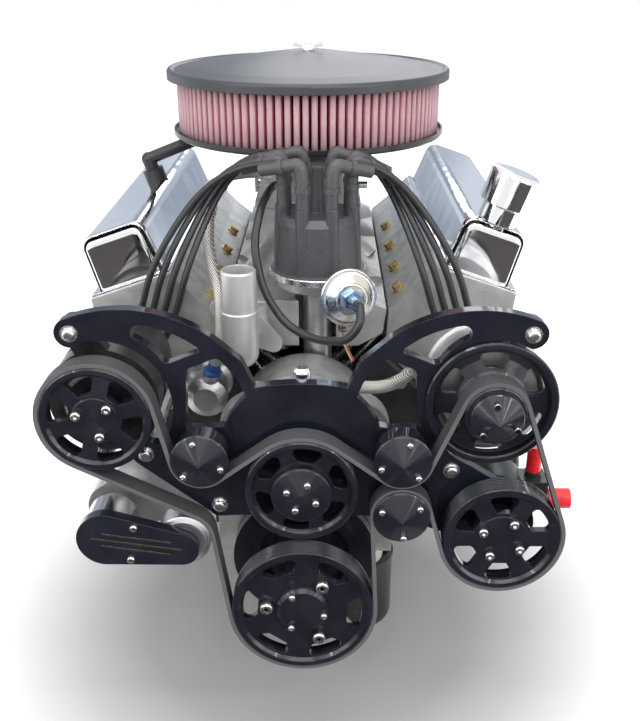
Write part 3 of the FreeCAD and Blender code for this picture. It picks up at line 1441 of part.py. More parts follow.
def make_bracket():
    """Winged plate that carries every accessory, with two windows in each wing."""
    body = new_body("accessory_bracket")
    scoop = size("scoop_radius")
    x = size("compressor_across")
    z = size("compressor_height")
    tip_x = size("tip_across")
    tip_z = size("tip_height")
    tip = size("tip_radius")
    lug_x = size("lug_across")
    lug_z = size("lug_height")
    foot_x = size("foot_across")
    foot_z = size("foot_height")
    steer_x = size("steering_across")
    steer_z = size("steering_height")
    lobe = size("steering_lobe")

    def on_scoop(side, degrees):
        turn = math.radians(degrees)
        return (side * (x + scoop * math.cos(turn)), z + scoop * math.sin(turn))

    steps = [(-64, 101), (64, 101), (112, 94), (steer_x - 34, steer_z - 19),
             ((steer_x + lobe * 0.26, steer_z - lobe * 0.966), (steer_x + lobe, steer_z)),
             ((steer_x + lobe * 0.9, steer_z + 17), (steer_x + 26, steer_z + 30)),
             (steer_x - 12, 148), on_scoop(1, -114),
             (on_scoop(1, 178), on_scoop(1, 84)), (tip_x, tip_z - tip),
             ((tip_x + tip, tip_z), (tip_x + 4, tip_z + tip - 0.5)),
             ((160, 330), (88, 303)), (58, 277), (46, 249), ((0, 253), (-46, 249)),
             (-58, 277), (-88, 303), ((-160, 330), (-tip_x - 4, tip_z + tip - 0.5)),
             ((-tip_x - tip, tip_z), (-tip_x, tip_z - tip)), on_scoop(-1, 84),
             (on_scoop(-1, 150), on_scoop(-1, 215)), (-lug_x + 8, lug_z + 11.5),
             ((-lug_x - 13.5, lug_z + 4), (-lug_x - 9, lug_z - 11)), (-foot_x - 11, foot_z - 8),
             ((-foot_x - 5, foot_z - 13), (-foot_x + 2, foot_z - 14))]
    drawing = new_sketch(body, front_plane(size("bracket_front") - size("bracket_thickness")))
    draw(drawing, steps)
    pad(body, drawing, "Dims.bracket_thickness")
    upper = [(-163, 302), ((-163, 311), (-155, 315)), ((-126, 307), (-101, 292)),
             ((-99, 288), (-103.5, 285.4)), (-127, 275.6), ((-134, 276), (-138, 281)),
             ((-149, 293), (-163, 302))]
    lower = [(-113, 262), ((-111, 268), (-104, 271.6)), (-86, 279.5), ((-80, 279), (-76, 275)),
             ((-63, 258), (-55, 239)), ((-68, 224), (-78, 206)), (-92, 203), (-116, 203)]
    drawing = new_sketch(body, front_plane(size("bracket_front") + 1))
    for outline in (upper, lower):
        draw(drawing, outline)
        draw(drawing, mirror_steps(outline))
    pocket(body, drawing, size("bracket_thickness") + 2)
    drawing = new_sketch(body, front_plane(size("bracket_front") + 1))
    axle = size("axle") / 2 + size("running_gap")
    for across, height in ((-size("idler_across"), size("idler_height")),
                           (size("idler_across"), size("idler_height")),
                           (size("lower_idler_across"), size("lower_idler_height")),
                           (steer_x, steer_z), (0, size("pump_height"))):
        draw_circle(drawing, across, height, axle)
    pocket(body, drawing, size("bracket_thickness") + 2)


def bracket_points():
    """Centres of the five bolts that hold the bracket."""
    return [(-size("tip_across"), size("tip_height")), (size("tip_across"), size("tip_height")),
            (-size("foot_across"), size("foot_height")),
            (size("right_bolt_across"), size("right_bolt_height")),
            (-size("lug_across"), size("lug_height"))]


def make_bracket_fixings():
    """Bolts on the front of the bracket and the long standoffs behind it."""
    heads = []
    front = -size("bracket_front")
    radius = size("bracket_bolt") / 2
    for x, z in bracket_points():
        heads.append(turned([(0, 0), (radius + 2, 0), (radius + 2, 1.4), (radius, 1.4),
                             (radius, 3), ((radius - 1.2, 5.2), (radius - 3.5, 6)), (0, 6)],
                            (x, front, z), (0, -1, 0)))
    back = front + size("bracket_thickness")
    radius = size("standoff_radius")
    plate = size("tensioner_plate")
    rods = []
    ends = ((2, plate, -size("cover_front") - size("pump_chamber")), (3, 0, right_head_front()),
            (4, plate, left_head_front()))
    for index, skip, end in ends:
        x, z = bracket_points()[index]
        rods.append(bar((x, back + skip, z), (x, end, z), radius))
    group("bracket_fixings", heads + rods)


def right_head_front():
    """Front face of the right head."""
    return -(size("block_middle") - size("bank_stagger") / 2 + size("head_length") / 2)


def left_head_front():
    """Front face of the left head."""
    return -(size("block_middle") + size("bank_stagger") / 2 + size("head_length") / 2)


# Induction

def make_manifold():
    """Aluminium dual plane manifold: valley cover, plenum and eight runners."""
    rear = size("block_rear") + 16
    front = size("distributor_station") + 16
    top = size("manifold_top")
    solids = [extrude([(-62, 216), (62, 216), (90, 232), (94, 262), (70, 272), (-70, 272),
                       (-94, 262), (-90, 232)], front_plane(rear), front - rear)]
    middle = size("carburettor_station")
    solids.append(extrude([(-58, 262), (58, 262), (62, 300), (62, top - 6), (56, top), (-56, top),
                           (-62, top - 6), (-62, 300)], front_plane(middle - 78), 156))
    flange = size("carburettor_flange")
    solids.append(box((-68, -middle - 68, top - 0.5), (68, -middle + 68, flange)))
    for side in SIDES.values():
        for index, station in enumerate(cylinder_stations(side)):
            inner = middle + (index - 1.5) * 38
            start = Vector(side * 78, -station, 258)
            end = Vector(side * 30, -inner, 300)
            solids.append(bar(start, end, 19))
    # Water crossover at the front with the seat of the outlet
    crossover = size("outlet_station") - 58
    solids.append(box((-88, -crossover, 226), (-44, -front + 8, 270)))
    shape = solids[0].multiFuse(solids[1:])
    x = size("distributor_across")
    y = -size("distributor_station")
    shape = shape.cut(cylinder((x, y, 200), (0, 0, 1), 27, 100))
    bore = size("carburettor_bore") / 2
    for across in both(size("barrel_across")):
        for along in both(size("barrel_along")):
            shape = shape.cut(cylinder((across, -middle + along, top - 60), (0, 0, 1), bore, 90))
    keep_shape("intake_manifold", shape.removeSplitter())


def make_carburettor():
    """Four barrel carburettor: base plate, main body, two bowls and a round air horn."""
    middle = -size("carburettor_station")
    low = size("carburettor_flange") + 0.05
    seat = size("air_cleaner_seat")
    bore = size("carburettor_bore") / 2
    solids = [box((-62, middle - 66, low), (62, middle + 66, low + 22)),
              box((-50, middle - 56, low + 21), (50, middle + 56, seat - 14)),
              box((-44, middle - 92, low + 16), (44, middle - 55, low + 56)),
              box((-44, middle + 55, low + 16), (44, middle + 92, low + 56)),
              cylinder((0, middle, seat - 16), (0, 0, 1), size("air_horn") / 2, 12)]
    shape = solids[0].multiFuse(solids[1:])
    for across in both(size("barrel_across")):
        for along in both(size("barrel_along")):
            shape = shape.cut(cylinder((across, middle + along, low - 1), (0, 0, 1), bore, 200))
    front_row = -size("barrel_along")
    reach = size("throttle_half_length")
    shape = shape.cut(cylinder((-reach - 20, middle + front_row, size("throttle_height")),
                               (1, 0, 0), size("throttle_shaft") / 2 + size("running_gap"),
                               2 * reach + 40))
    shape = shape.fuse(box((-4, middle - 50, seat - 40), (4, middle + 50, seat - 30)))
    stud_top = size("lid_height") + size("dome_height") + 6
    stud = cylinder((0, middle, seat - 40), (0, 0, 1), size("stud_diameter") / 2,
                    stud_top - seat + 40)
    keep_shape("carburetor_body", shape.fuse(stud).removeSplitter())
    # Throttle shaft with its lever outside and two plates inside
    body = new_body("throttle_shaft")
    place(body, station="-Dims.carburettor_station", height="Dims.throttle_height")
    radius = size("throttle_shaft") / 2
    drawing = new_sketch(body, frame_at((-reach, front_row, 0), (0, 1, 0), (1, 0, 0)))
    draw_circle(drawing, 0, 0, radius)
    pad(body, drawing, 2 * reach + 8)
    for across in both(size("barrel_across")):
        drawing = new_sketch(body, frame_at((across, front_row, -1), (1, 0, 0), (0, 0, 1)))
        draw_circle(drawing, 0, 0, bore - 0.5)
        pad(body, drawing, 2)
    drawing = new_sketch(body, frame_at((-reach, front_row, 0), (0, 1, 0), (1, 0, 0)))
    draw(drawing, [(-8, -8), (8, -8), (10, 26), ((0, 34), (-10, 26))])
    pad(body, drawing, 4)


def make_air_cleaner():
    """Round air cleaner: dropped base, pleated element, lid, stud and wing nut."""
    y = "-Dims.carburettor_station"
    seat = size("air_cleaner_seat")
    base = new_body("air_cleaner_base")
    place(base, station=y)
    horn = size("air_horn") / 2
    wide = size("base_diameter") / 2
    height = size("base_height")
    revolve(base, [(horn - 6, seat - 3.9), (horn + 6, seat - 3.9), (horn + 16, height - 4),
                   (wide - 2, height - 4), (wide, height - 2), (wide, height + 4),
                   (wide - 2, height + 4), (wide - 2.5, height - 1), (horn + 14, height - 1.5),
                   (horn + 5, seat - 1), (horn - 6, seat - 1)], UPRIGHT)
    element = new_body("filter_element")
    place(element, station=y)
    outer = size("element_diameter") / 2
    inner = outer - size("element_wall")
    low = height - 0.7
    high = size("lid_height") - 3
    revolve(element, [(inner, low), (outer, low), (outer, low + 7), (outer - 1.5, low + 7),
                      (outer - 1.5, high - 7), (outer, high - 7), (outer, high), (inner, high)],
            UPRIGHT)
    lid = new_body("air_cleaner_lid")
    place(lid, station=y)
    rim = size("lid_diameter") / 2
    level = size("lid_height")
    dome = size("dome_height")
    stud = size("stud_diameter") / 2 + size("running_gap")
    revolve(lid, [(stud, level + dome - 3), (20, level + dome - 3), (rim - 40, level + 3),
                  (rim - 22, level - 2.7), (rim - 3, level - 2.7), (rim - 3, level - 8),
                  (rim, level - 8), (rim, level), ((rim - 1.5, level + 3.5), (rim - 5, level + 4.5)),
                  (rim - 9, level + 2), (rim - 36, level + 7), (24, level + dome - 0.5),
                  (22, level + dome - 4 + 3), (stud, level + dome - 0.8)], UPRIGHT)
    nut = new_body("wing_nut")
    place(nut, station=y)
    foot = level + dome - 0.4
    revolve(nut, [(stud, foot), (8, foot), (6, foot + 7), (stud, foot + 7)], UPRIGHT)
    drawing = new_sketch(nut, frame_at((0, 1.2, foot), (1, 0, 0), (0, -1, 0)))
    for side in (-1, 1):
        draw(drawing, [(side * 5, 1.5), (side * 14, 5), ((side * 19, 9), (side * 13, 9.5)),
                       (side * 4.5, 6.5)])
    pad(nut, drawing, 2.4)


# Ignition

def make_distributor():
    """Distributor housing, turning shaft with rotor, cap with towers and vacuum can."""
    x = size("distributor_across")
    y = -size("distributor_station")
    body = new_body("distributor_housing")
    place(body, across="Dims.distributor_across", station="-Dims.distributor_station")
    floor = size("valley_height") + 0.05
    shaft = size("distributor_shaft") / 2 + size("running_gap")
    low = size("cap_bottom")
    cap = size("cap_diameter") / 2
    revolve(body, [(shaft, floor), (18, floor), (18, floor + 10), (17, floor + 14),
                   (17, low - 24), (24, low - 19), (cap - 9, low - 12), (cap - 7, low - 0.1),
                   (cap - 12, low - 0.1), (cap - 14, low - 10), (shaft, low - 10)], UPRIGHT)
    rotor = new_body("distributor_rotor")
    place(rotor, across="Dims.distributor_across", station="-Dims.distributor_station")
    core = size("distributor_shaft") / 2
    gear = size("cam_height") + size("cam_journal") / 2 + 2.5
    revolve(rotor, [(0, gear), (12, gear), (12, floor - 1), (core, floor - 1), (core, low + 10),
                    (16, low + 10), (16, low + 24), (0, low + 24)], UPRIGHT)
    drawing = new_sketch(rotor, plan_plane(low + 14))
    draw(drawing, [(10, -7), (36, -4), (36, 4), (10, 7)])
    pad(rotor, drawing, 5)
    top = size("cap_top")
    shell = turned([(cap - 10, 0), (cap, 0), (cap, 8), (cap - 4, 10), (cap - 6, top - low - 8),
                    (cap - 12, top - low), (0, top - low), (0, top - low - 4),
                    (cap - 15, top - low - 4), (cap - 12, top - low - 12)], (x, y, low), (0, 0, 1))
    towers = []
    tall = size("tower_top") - top
    for turn in range(8):
        angle = math.radians(22.5 + 45 * turn)
        ring = cap - 14
        spot = (x + ring * math.cos(angle), y + ring * math.sin(angle), top - 6)
        towers.append(turned([(0, 0), (8.5, 0), (6.5, tall + 6), (0, tall + 6)], spot, (0, 0, 1)))
    towers.append(turned([(0, 0), (9, 0), (7, tall + 10), (0, tall + 10)], (x, y, top - 4),
                         (0, 0, 1)))
    keep_shape("distributor_cap", shell.multiFuse(towers).removeSplitter())
    start = Vector(x + 26, y - 41.2, low - 8)
    ahead = Vector(0.28, -1, 0.12).normalize()
    can = size("canister_diameter") / 2
    steps = [(0, 0), (4, 0), (4, 18), (12, 20), (can - 3, 28), (can, 30), (can, 34), (can - 2, 36),
             (14, 46), (9, 47), (9, 54), (4, 55), (4, 62), (0, 62)]
    keep_shape("vacuum_advance", turned(steps, start, ahead))
    return start + ahead * 62, ahead


def tube_path(points, radii_out=None):
    """Straight runs joined by tangent arcs, each as large as its two runs allow."""
    points = [Vector(point) for point in points]
    edges = []
    here = points[0]
    for index in range(1, len(points) - 1):
        before = points[index] - points[index - 1]
        after = points[index + 1] - points[index]
        turn = before.getAngle(after)
        shorter = min(before.Length, after.Length)
        reach = 0.45 * shorter
        arc_in = points[index] - Vector(before).normalize() * reach
        arc_out = points[index] + Vector(after).normalize() * reach
        radius = reach / math.tan(turn / 2)
        middle_line = (arc_in + arc_out) * 0.5 - points[index]
        centre_gap = math.sqrt(radius * radius + reach * reach)
        middle = points[index] + Vector(middle_line).normalize() * (centre_gap - radius)
        edges.append(Part.LineSegment(here, arc_in).toShape())
        edges.append(Part.Arc(arc_in, middle, arc_out).toShape())
        if radii_out is not None:
            radii_out.append(radius)
        here = arc_out
    edges.append(Part.LineSegment(here, points[-1]).toShape())
    return Part.Wire(edges)


def tube(points, diameter):
    """A round tube along a route, checked against its section times its length."""
    radii = []
    path = tube_path(points, radii)
    start = Vector(points[0])
    ahead = (Vector(points[1]) - start).normalize()
    ring = Part.Wire([Part.makeCircle(diameter / 2, start, ahead)])
    solid = path.makePipe(Part.Face(ring))
    if solid.ShapeType != "Solid":
        solid = solid.Solids[0]
    want = math.pi * diameter * diameter / 4 * path.Length
    if abs(solid.Volume - want) > 0.02 * want:
        raise RuntimeError("a tube's volume is off its section times its length")
    print("tube", round(path.Length), "mm, smallest radius", round(min(radii), 1))
    return solid


def plug_frame(side, station):
    """The seat of a spark plug and the direction in which the plug stands out."""
    face = Vector(side * 28, 0, 146)
    out = Vector(side * 146, 0, -28).normalize()
    seat = Vector(side * 216, -station, 112) + face.normalize() * 24
    return seat - out * (size("plug_depth") - 0.3), out


def make_plugs_and_wires():
    """Spark plugs under their elbow boots, and the wires from the cap's towers."""
    plugs = []
    wires = []
    reach = size("plug_length")
    thick = size("wire_diameter")
    gap = size("wire_spacing")
    x = size("distributor_across")
    y = -size("distributor_station")
    ring = size("cap_diameter") / 2 - 14
    top = size("tower_top") + 0.05
    down = Vector(0, 0, -1)
    front = -size("wire_station")
    for side in SIDES.values():
        turns = [angle for angle in range(8) if math.cos(math.radians(22.5 + 45 * angle)) * side > 0]
        turns.sort(key=lambda item: -math.sin(math.radians(22.5 + 45 * item)))
        for lane, station in enumerate(reversed(cylinder_stations(side))):
            seat, out = plug_frame(side, station)
            bend = seat + out * reach
            metal = turned([(0, 0), (10.5, 0), (10.5, 16), (6, 18), (6, 22), (8.5, 24),
                            (7.5, reach), (0, reach)], seat, out)
            boot_end = bend + down * size("boot_drop")
            plugs.append(metal.multiFuse([Part.makeSphere(7.5, bend), bar(bend, boot_end, 7.5)]))
            angle = math.radians(22.5 + 45 * turns[lane])
            tower = Vector(x + ring * math.cos(angle), y + ring * math.sin(angle), top)
            shift = gap * lane
            end = boot_end + down * 0.05
            points = [tower, tower + Vector(0, 0, 26),
                      Vector(side * (84 + shift * 0.4), front + 78 - shift, top + 2),
                      Vector(side * (128 + shift), front, 330),
                      Vector(side * (150 + shift), front, 250),
                      Vector(side * (190 + shift * 0.9), front, 188),
                      Vector(side * (222 + shift * 0.8), front, 112 - shift / 2)]
            if lane == 0:
                points.append(Vector(end.x, -station, end.z - 34))
            else:
                low = 62 - shift
                across = side * (246 + shift / 2)
                points.append(Vector(across, front + 38, low))
                points.append(Vector(across, -station - 46, low))
                points.append(Vector(end.x, -station, low + 6))
            points.append(end)
            wires.append(tube(points, thick))
    group("spark_plugs", plugs)
    group("plug_wires", wires)


def make_vacuum_lines(start, ahead):
    """Breather valve of the left cover, and the vacuum hose from the canister."""
    points = [start + ahead * 0.05, start + ahead * 13, start + Vector(3, -27, -14),
              start + Vector(-11, -27, -32), Vector(14, -582, 259),
              Vector(-20, -556, 266), Vector(-46, -536, 300), Vector(-56, -520, 348),
              Vector(-48, -500, 385), Vector(-40, -440, 392), Vector(-30, -400, 388),
              Vector(-30, -350.4, 385)]
    group("vacuum_lines", [make_pcv_valve(), tube(points, size("hose_diameter"))])


# Cooling and fuel

def make_outlet():
    """Water outlet: an upright neck on an elbow that bolts to the manifold's front."""
    x = -size("outlet_across")
    y = -size("outlet_station")
    radius = size("outlet_diameter") / 2
    wall = size("outlet_wall")
    top = size("outlet_top")
    seat = y + 58 - 0.05
    low = 223
    rough = radius + size("outlet_step")
    tall = top - low
    shoulder = tall - size("outlet_seat")
    neck = turned([(0, 0), ((rough * 0.7, 5), (rough, 18)), (rough, shoulder - 1),
                   (radius, shoulder), (radius, tall - 1.5), (radius - 1.5, tall), (0, tall)],
                  (x, y, low), (0, 0, 1))
    arm = bar((x, y, 248), (x + 3, seat - 5, 248), radius - 4)
    ear = Vector(31, -22, 0)
    middle = Vector(x + 2, 250, 0)
    side = Vector(0.58, 0.815, 0)
    flange = extrude([((middle + side * 22).x, (middle + side * 22).y),
                      ((middle - ear).x + 6, (middle - ear).y + 8),
                      (((middle - ear * 1.25).x, (middle - ear * 1.25).y),
                       ((middle - ear).x - 6, (middle - ear).y - 8)),
                      ((middle - side * 22).x, (middle - side * 22).y),
                      ((middle + ear).x - 6, (middle + ear).y - 8),
                      (((middle + ear * 1.25).x, (middle + ear * 1.25).y),
                       ((middle + ear).x + 6, (middle + ear).y + 8))],
                     front_plane(-seat), 8)
    shape = neck.multiFuse([arm, flange])
    shape = shape.cut(cylinder((x, y, 246), (0, 0, 1), radius - wall, 120))
    keep_shape("thermostat_housing", shape.removeSplitter())


def make_fuel_pump():
    """Fuel pump on the front of the block with its hex fitting."""
    front = -size("block_rear") - size("block_length")
    x = -size("fuel_pump_across")
    z = size("fuel_pump_height")
    steps = [(0, 0), (26, 0), (26, 8), (20, 12), (20, 40), (24, 42), (24, 52), (14, 60), (0, 60)]
    shape = turned(steps, (x, front - 0.05, z), (0, -1, 0))
    foot = Vector(x + 4, front - 46, z + 18)
    ahead = Vector(0.3, -0.2, 1).normalize()
    shape = shape.multiFuse([bar(foot, foot + ahead * 16, 10), bar(foot, foot + ahead * 26, 7)])
    keep_shape("fuel_pump", shape.removeSplitter())
    return foot + ahead * 26, ahead


def make_hoses(start, ahead):
    """Braided fuel hose to the carburettor and the chrome pipe behind the bracket's arch."""
    wide = size("braid_diameter")
    points = [start + ahead * 0.05, start + ahead * 30, start + Vector(8, 10, 76),
              Vector(-112, -478, 330), Vector(-116, -410, 362), Vector(-104, -352, 384),
              Vector(-76, -330, 384), Vector(-44.6, -330, 384)]
    hoses = [tube(points, wide)]
    front = -size("bracket_front") + size("bracket_thickness")
    points = [Vector(56.1, front + 12, 238), Vector(84, front + 12, 238),
              Vector(108, front + 34, 240), Vector(112, front + 74, 226),
              Vector(108, front + 110, 196)]
    hoses.append(tube(points, wide))
    group("braided_hoses", hoses)
    pipe = bar((-52, front + 12, 238), (56, front + 12, 238), 6)
    seat = size("pump_height") + size("snout_collar") + 0.3
    drop = bar((0, front + 12, 238), (0, front + 12, seat), 8)
    cap = turned([(0, 0), (9, 0), (9, 14), (6, 18), (0, 18)], (0, front + 12, 242), (0, 0, 1))
    ball = Part.makeSphere(9, Vector(0, front + 12, 238))
    keep_shape("coolant_pipe", pipe.multiFuse([drop, cap, ball]))


# Build every sub-part in the order in which the engine goes together
make_block()
make_main_caps()
make_crankshaft()
make_camshaft()
make_timing_set()
make_pistons()
make_valve_train()
make_oil_pump()
join_pieces("cylinder_heads", [make_head(name, side) for name, side in SIDES.items()])
for side_name, side_sign in SIDES.items():
    make_valve_cover(side_name, side_sign)
make_head_gaskets()
make_breather()
make_timing_cover()
make_oil_pan()
make_balancer()
make_oil_filter()
make_bracket()
make_bracket_fixings()
make_crank_pulley()
make_water_pump()
make_pump_body()
make_idlers()
make_compressor()
make_alternator()
make_steering_pump()
make_tensioner()
make_belt()
make_manifold()
make_carburettor()
make_air_cleaner()
canister_end, canister_ahead = make_distributor()
make_plugs_and_wires()
make_vacuum_lines(canister_end, canister_ahead)
make_outlet()
fuel_outlet, fuel_ahead = make_fuel_pump()
make_hoses(fuel_outlet, fuel_ahead)

doc.recompute()

for item in doc.Objects:
    if "Invalid" in item.State or "Error" in item.State:
        raise RuntimeError(f"{item.Label} failed: {item.State}")
for piece in PIECES:
    if piece.Shape.isNull() or not piece.Shape.isValid():
        raise RuntimeError(f"{piece.Label} has no valid shape")
for feature in CUTS:
    before = feature.BaseFeature.Shape.Volume
    if feature.Shape.Volume > before - 0.5:
        owner = feature.getParentGeoFeatureGroup().Label
        raise RuntimeError(f"{feature.Label} of {owner} cuts nothing")
for piece in PIECES:
    piece.Shape.exportStep(f"parts/{piece.Label}.step")
print(len(PIECES), "sub-parts written")
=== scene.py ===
import json
import math

import bmesh
import bpy
from mathutils import Matrix, Vector


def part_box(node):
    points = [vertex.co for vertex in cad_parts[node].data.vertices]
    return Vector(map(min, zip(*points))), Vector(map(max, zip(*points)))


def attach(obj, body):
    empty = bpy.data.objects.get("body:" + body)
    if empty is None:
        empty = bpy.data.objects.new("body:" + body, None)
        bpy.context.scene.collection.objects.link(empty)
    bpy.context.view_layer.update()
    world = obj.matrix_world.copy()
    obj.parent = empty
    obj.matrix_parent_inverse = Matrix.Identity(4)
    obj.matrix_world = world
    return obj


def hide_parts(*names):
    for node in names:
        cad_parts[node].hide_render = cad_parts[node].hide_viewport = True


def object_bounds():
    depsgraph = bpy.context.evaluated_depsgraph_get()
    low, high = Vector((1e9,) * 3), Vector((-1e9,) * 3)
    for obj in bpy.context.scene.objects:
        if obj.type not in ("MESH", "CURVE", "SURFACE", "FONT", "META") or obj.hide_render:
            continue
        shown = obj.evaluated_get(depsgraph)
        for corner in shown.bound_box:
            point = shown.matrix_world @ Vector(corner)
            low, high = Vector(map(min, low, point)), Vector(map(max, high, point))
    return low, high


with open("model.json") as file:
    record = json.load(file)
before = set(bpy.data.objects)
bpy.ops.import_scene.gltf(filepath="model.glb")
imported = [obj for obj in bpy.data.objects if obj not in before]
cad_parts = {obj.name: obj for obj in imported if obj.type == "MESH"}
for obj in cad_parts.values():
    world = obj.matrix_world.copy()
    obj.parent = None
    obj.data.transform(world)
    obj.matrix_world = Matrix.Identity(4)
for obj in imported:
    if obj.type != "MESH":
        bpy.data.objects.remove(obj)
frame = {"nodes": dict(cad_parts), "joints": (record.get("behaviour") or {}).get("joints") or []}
cad_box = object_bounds()
bpy.ops.object.select_all(action="DESELECT")


# Camera. It stands in front of the belt drive and a little above it, as the photograph was taken,
# and looks 24 degrees down. Its lens gives 927 pixels per unit of depth on a 721 pixel height.
look_down = 24
look_left = 0.42
lens_pixels = 927
picture_height = 721
sensor_width = 36
camera_data = bpy.data.cameras.new("camera")
camera_data.sensor_fit = "AUTO"
camera_data.sensor_width = sensor_width
camera_data.lens = sensor_width * lens_pixels / picture_height
camera_data.clip_end = 50
camera = bpy.data.objects.new("camera", camera_data)
camera.location = (0.0243, -1.5, 0.6445)
camera.rotation_euler = (math.radians(90 - look_down), 0, math.radians(look_left))
bpy.context.scene.collection.objects.link(camera)
bpy.context.scene.camera = camera


# Studio. A white sweep under the engine and large soft lamps above, in front, behind and at both
# sides, as on a product table. The world is plain white where the camera or a mirror looks at it.
def span_node(tree, value, low, high, from_low=0.0, from_high=1.0):
    """A value carried over from one range to another."""
    span = tree.nodes.new("ShaderNodeMapRange")
    span.inputs["From Min"].default_value = from_low
    span.inputs["From Max"].default_value = from_high
    span.inputs["To Min"].default_value = low
    span.inputs["To Max"].default_value = high
    tree.links.new(value, span.inputs["Value"])
    return span.outputs["Result"]


def math_node(tree, operation, first, second):
    """Two values put together by one operation."""
    result = tree.nodes.new("ShaderNodeMath")
    result.operation = operation
    tree.links.new(first, result.inputs[0])
    tree.links.new(second, result.inputs[1])
    return result.outputs[0]


def seen_directly(tree):
    """1 where the camera, a mirror or glass looks, and 0 for the light that falls on things."""
    ray = tree.nodes.new("ShaderNodeLightPath").outputs
    mirrored = math_node(tree, "MAXIMUM", ray["Is Glossy Ray"], ray["Is Transmission Ray"])
    return math_node(tree, "MAXIMUM", ray["Is Camera Ray"], mirrored)


def stage_material():
    """White paper that keeps the engine's soft shadow, with a painted shadow close under the engine."""
    material = bpy.data.materials.new("paper")
    material.use_nodes = True
    tree = material.node_tree
    nodes, links = tree.nodes, tree.links
    nodes.clear()
    shadow_middle = -0.45
    spot = nodes.new("ShaderNodeTexCoord")
    shift = nodes.new("ShaderNodeMapping")
    shift.inputs["Location"].default_value = (0, -shadow_middle, 0)
    reach = nodes.new("ShaderNodeVectorMath")
    reach.operation = "LENGTH"
    links.new(spot.outputs["Object"], shift.inputs["Vector"])
    links.new(shift.outputs["Vector"], reach.inputs[0])
    distance = reach.outputs["Value"]
    # Painted shadow: the paper's colour is darker close under the engine
    paper = nodes.new("ShaderNodeBsdfDiffuse")
    links.new(span_node(tree, distance, 0.40, 0.88, 0.22, 0.50), paper.inputs["Color"])
    # The glow makes the paper white far away and is weak close under the engine, part of the painted
    # shadow
    glow = nodes.new("ShaderNodeEmission")
    glow_with_painted_shadow = span_node(tree, distance, 0.04, 0.60, 0.30, 0.85)
    links.new(math_node(tree, "MULTIPLY", seen_directly(tree), glow_with_painted_shadow), glow.inputs["Strength"])
    both = nodes.new("ShaderNodeAddShader")
    out = nodes.new("ShaderNodeOutputMaterial")
    links.new(paper.outputs[0], both.inputs[0])
    links.new(glow.outputs[0], both.inputs[1])
    links.new(both.outputs[0], out.inputs["Surface"])
    return material


bpy.context.scene.view_settings.view_transform = "Standard"
floor_height = cad_box[0].z
bpy.ops.mesh.primitive_plane_add(size=14, location=(0, 0, floor_height - 0.0005))
floor = bpy.context.object
floor.name = "floor"
floor.data.materials.append(stage_material())


def studio_card(name, place, tilt, width, height, material):
    """A card that only mirrors see: it hides from the camera and from the light on the engine."""
    bpy.ops.mesh.primitive_plane_add(size=1, location=place, rotation=(math.radians(tilt), 0, 0))
    card = bpy.context.object
    card.name = name
    card.scale = (width, height, 1)
    bpy.ops.object.transform_apply(location=True, rotation=True, scale=True)
    card.data.materials.append(material)
    card.visible_camera = False
    card.visible_diffuse = False
    card.visible_shadow = False


# A dark card lies in front, under the camera, so the polished faces have something dark to mirror
card_felt = bpy.data.materials.new("felt")
card_felt.use_nodes = True
felt_surface = card_felt.node_tree.nodes["Principled BSDF"]
felt_surface.inputs["Base Color"].default_value = (0.03, 0.025, 0.022, 1)
felt_surface.inputs["Roughness"].default_value = 0.9
studio_card("front_card", (0, -2.0, floor_height + 0.01), 0, 3.4, 2.54, card_felt)

# A pale blue-grey card stands far behind, where the tops of the chrome covers mirror it
back_paper = bpy.data.materials.new("back_paper")
back_paper.use_nodes = True
back_nodes, back_links = back_paper.node_tree.nodes, back_paper.node_tree.links
back_nodes.clear()
back_glow = back_nodes.new("ShaderNodeEmission")
back_clouds = back_nodes.new("ShaderNodeTexNoise")
back_clouds.inputs["Scale"].default_value = 0.9
back_tint = back_nodes.new("ShaderNodeValToRGB")
back_tint.color_ramp.elements[0].position = 0.38
back_tint.color_ramp.elements[0].color = (0.30, 0.35, 0.43, 1)
back_tint.color_ramp.elements[1].position = 0.62
back_tint.color_ramp.elements[1].color = (0.66, 0.72, 0.80, 1)
back_spot = back_nodes.new("ShaderNodeTexCoord")
back_out = back_nodes.new("ShaderNodeOutputMaterial")
back_links.new(back_spot.outputs["Object"], back_clouds.inputs["Vector"])
back_links.new(back_clouds.outputs["Fac"], back_tint.inputs["Fac"])
back_links.new(back_tint.outputs["Color"], back_glow.inputs["Color"])
back_links.new(back_glow.outputs[0], back_out.inputs["Surface"])
studio_card("back_card", (0, 3.4, 1.4), 90, 7, 3.2, back_paper)

world = bpy.data.worlds.new("studio")
bpy.context.scene.world = world
world.use_nodes = True
background = world.node_tree.nodes["Background"]
background.inputs["Color"].default_value = (1, 1, 1, 1)
sky_level = span_node(world.node_tree, seen_directly(world.node_tree), 0.62, 1.0)
world.node_tree.links.new(sky_level, background.inputs["Strength"])


def soft_lamp(name, place, target, width, height, power):
    """A soft rectangular lamp that looks at a point of the engine."""
    data = bpy.data.lights.new(name, "AREA")
    data.shape = "RECTANGLE"
    data.size = width
    data.size_y = height
    data.energy = power
    lamp = bpy.data.objects.new(name, data)
    lamp.location = place
    aim = Vector(target) - Vector(place)
    lamp.rotation_euler = aim.to_track_quat("-Z", "Y").to_euler()
    bpy.context.scene.collection.objects.link(lamp)


soft_lamp("top_lamp", (0, -0.6, 2.3), (0, -0.35, 0.2), 1.8, 1.6, 22)
soft_lamp("left_lamp", (-1.9, -1.5, 1.1), (0, -0.5, 0.2), 0.9, 1.5, 12)
soft_lamp("right_lamp", (1.9, -1.6, 1.0), (0, -0.5, 0.2), 0.9, 1.5, 12)
soft_lamp("front_lamp", (0.1, -2.6, 1.7), (0, -0.6, 0.1), 1.4, 0.6, 10)
soft_lamp("rear_lamp", (0.4, 2.2, 1.6), (0, -0.2, 0.2), 1.6, 1.2, 14)
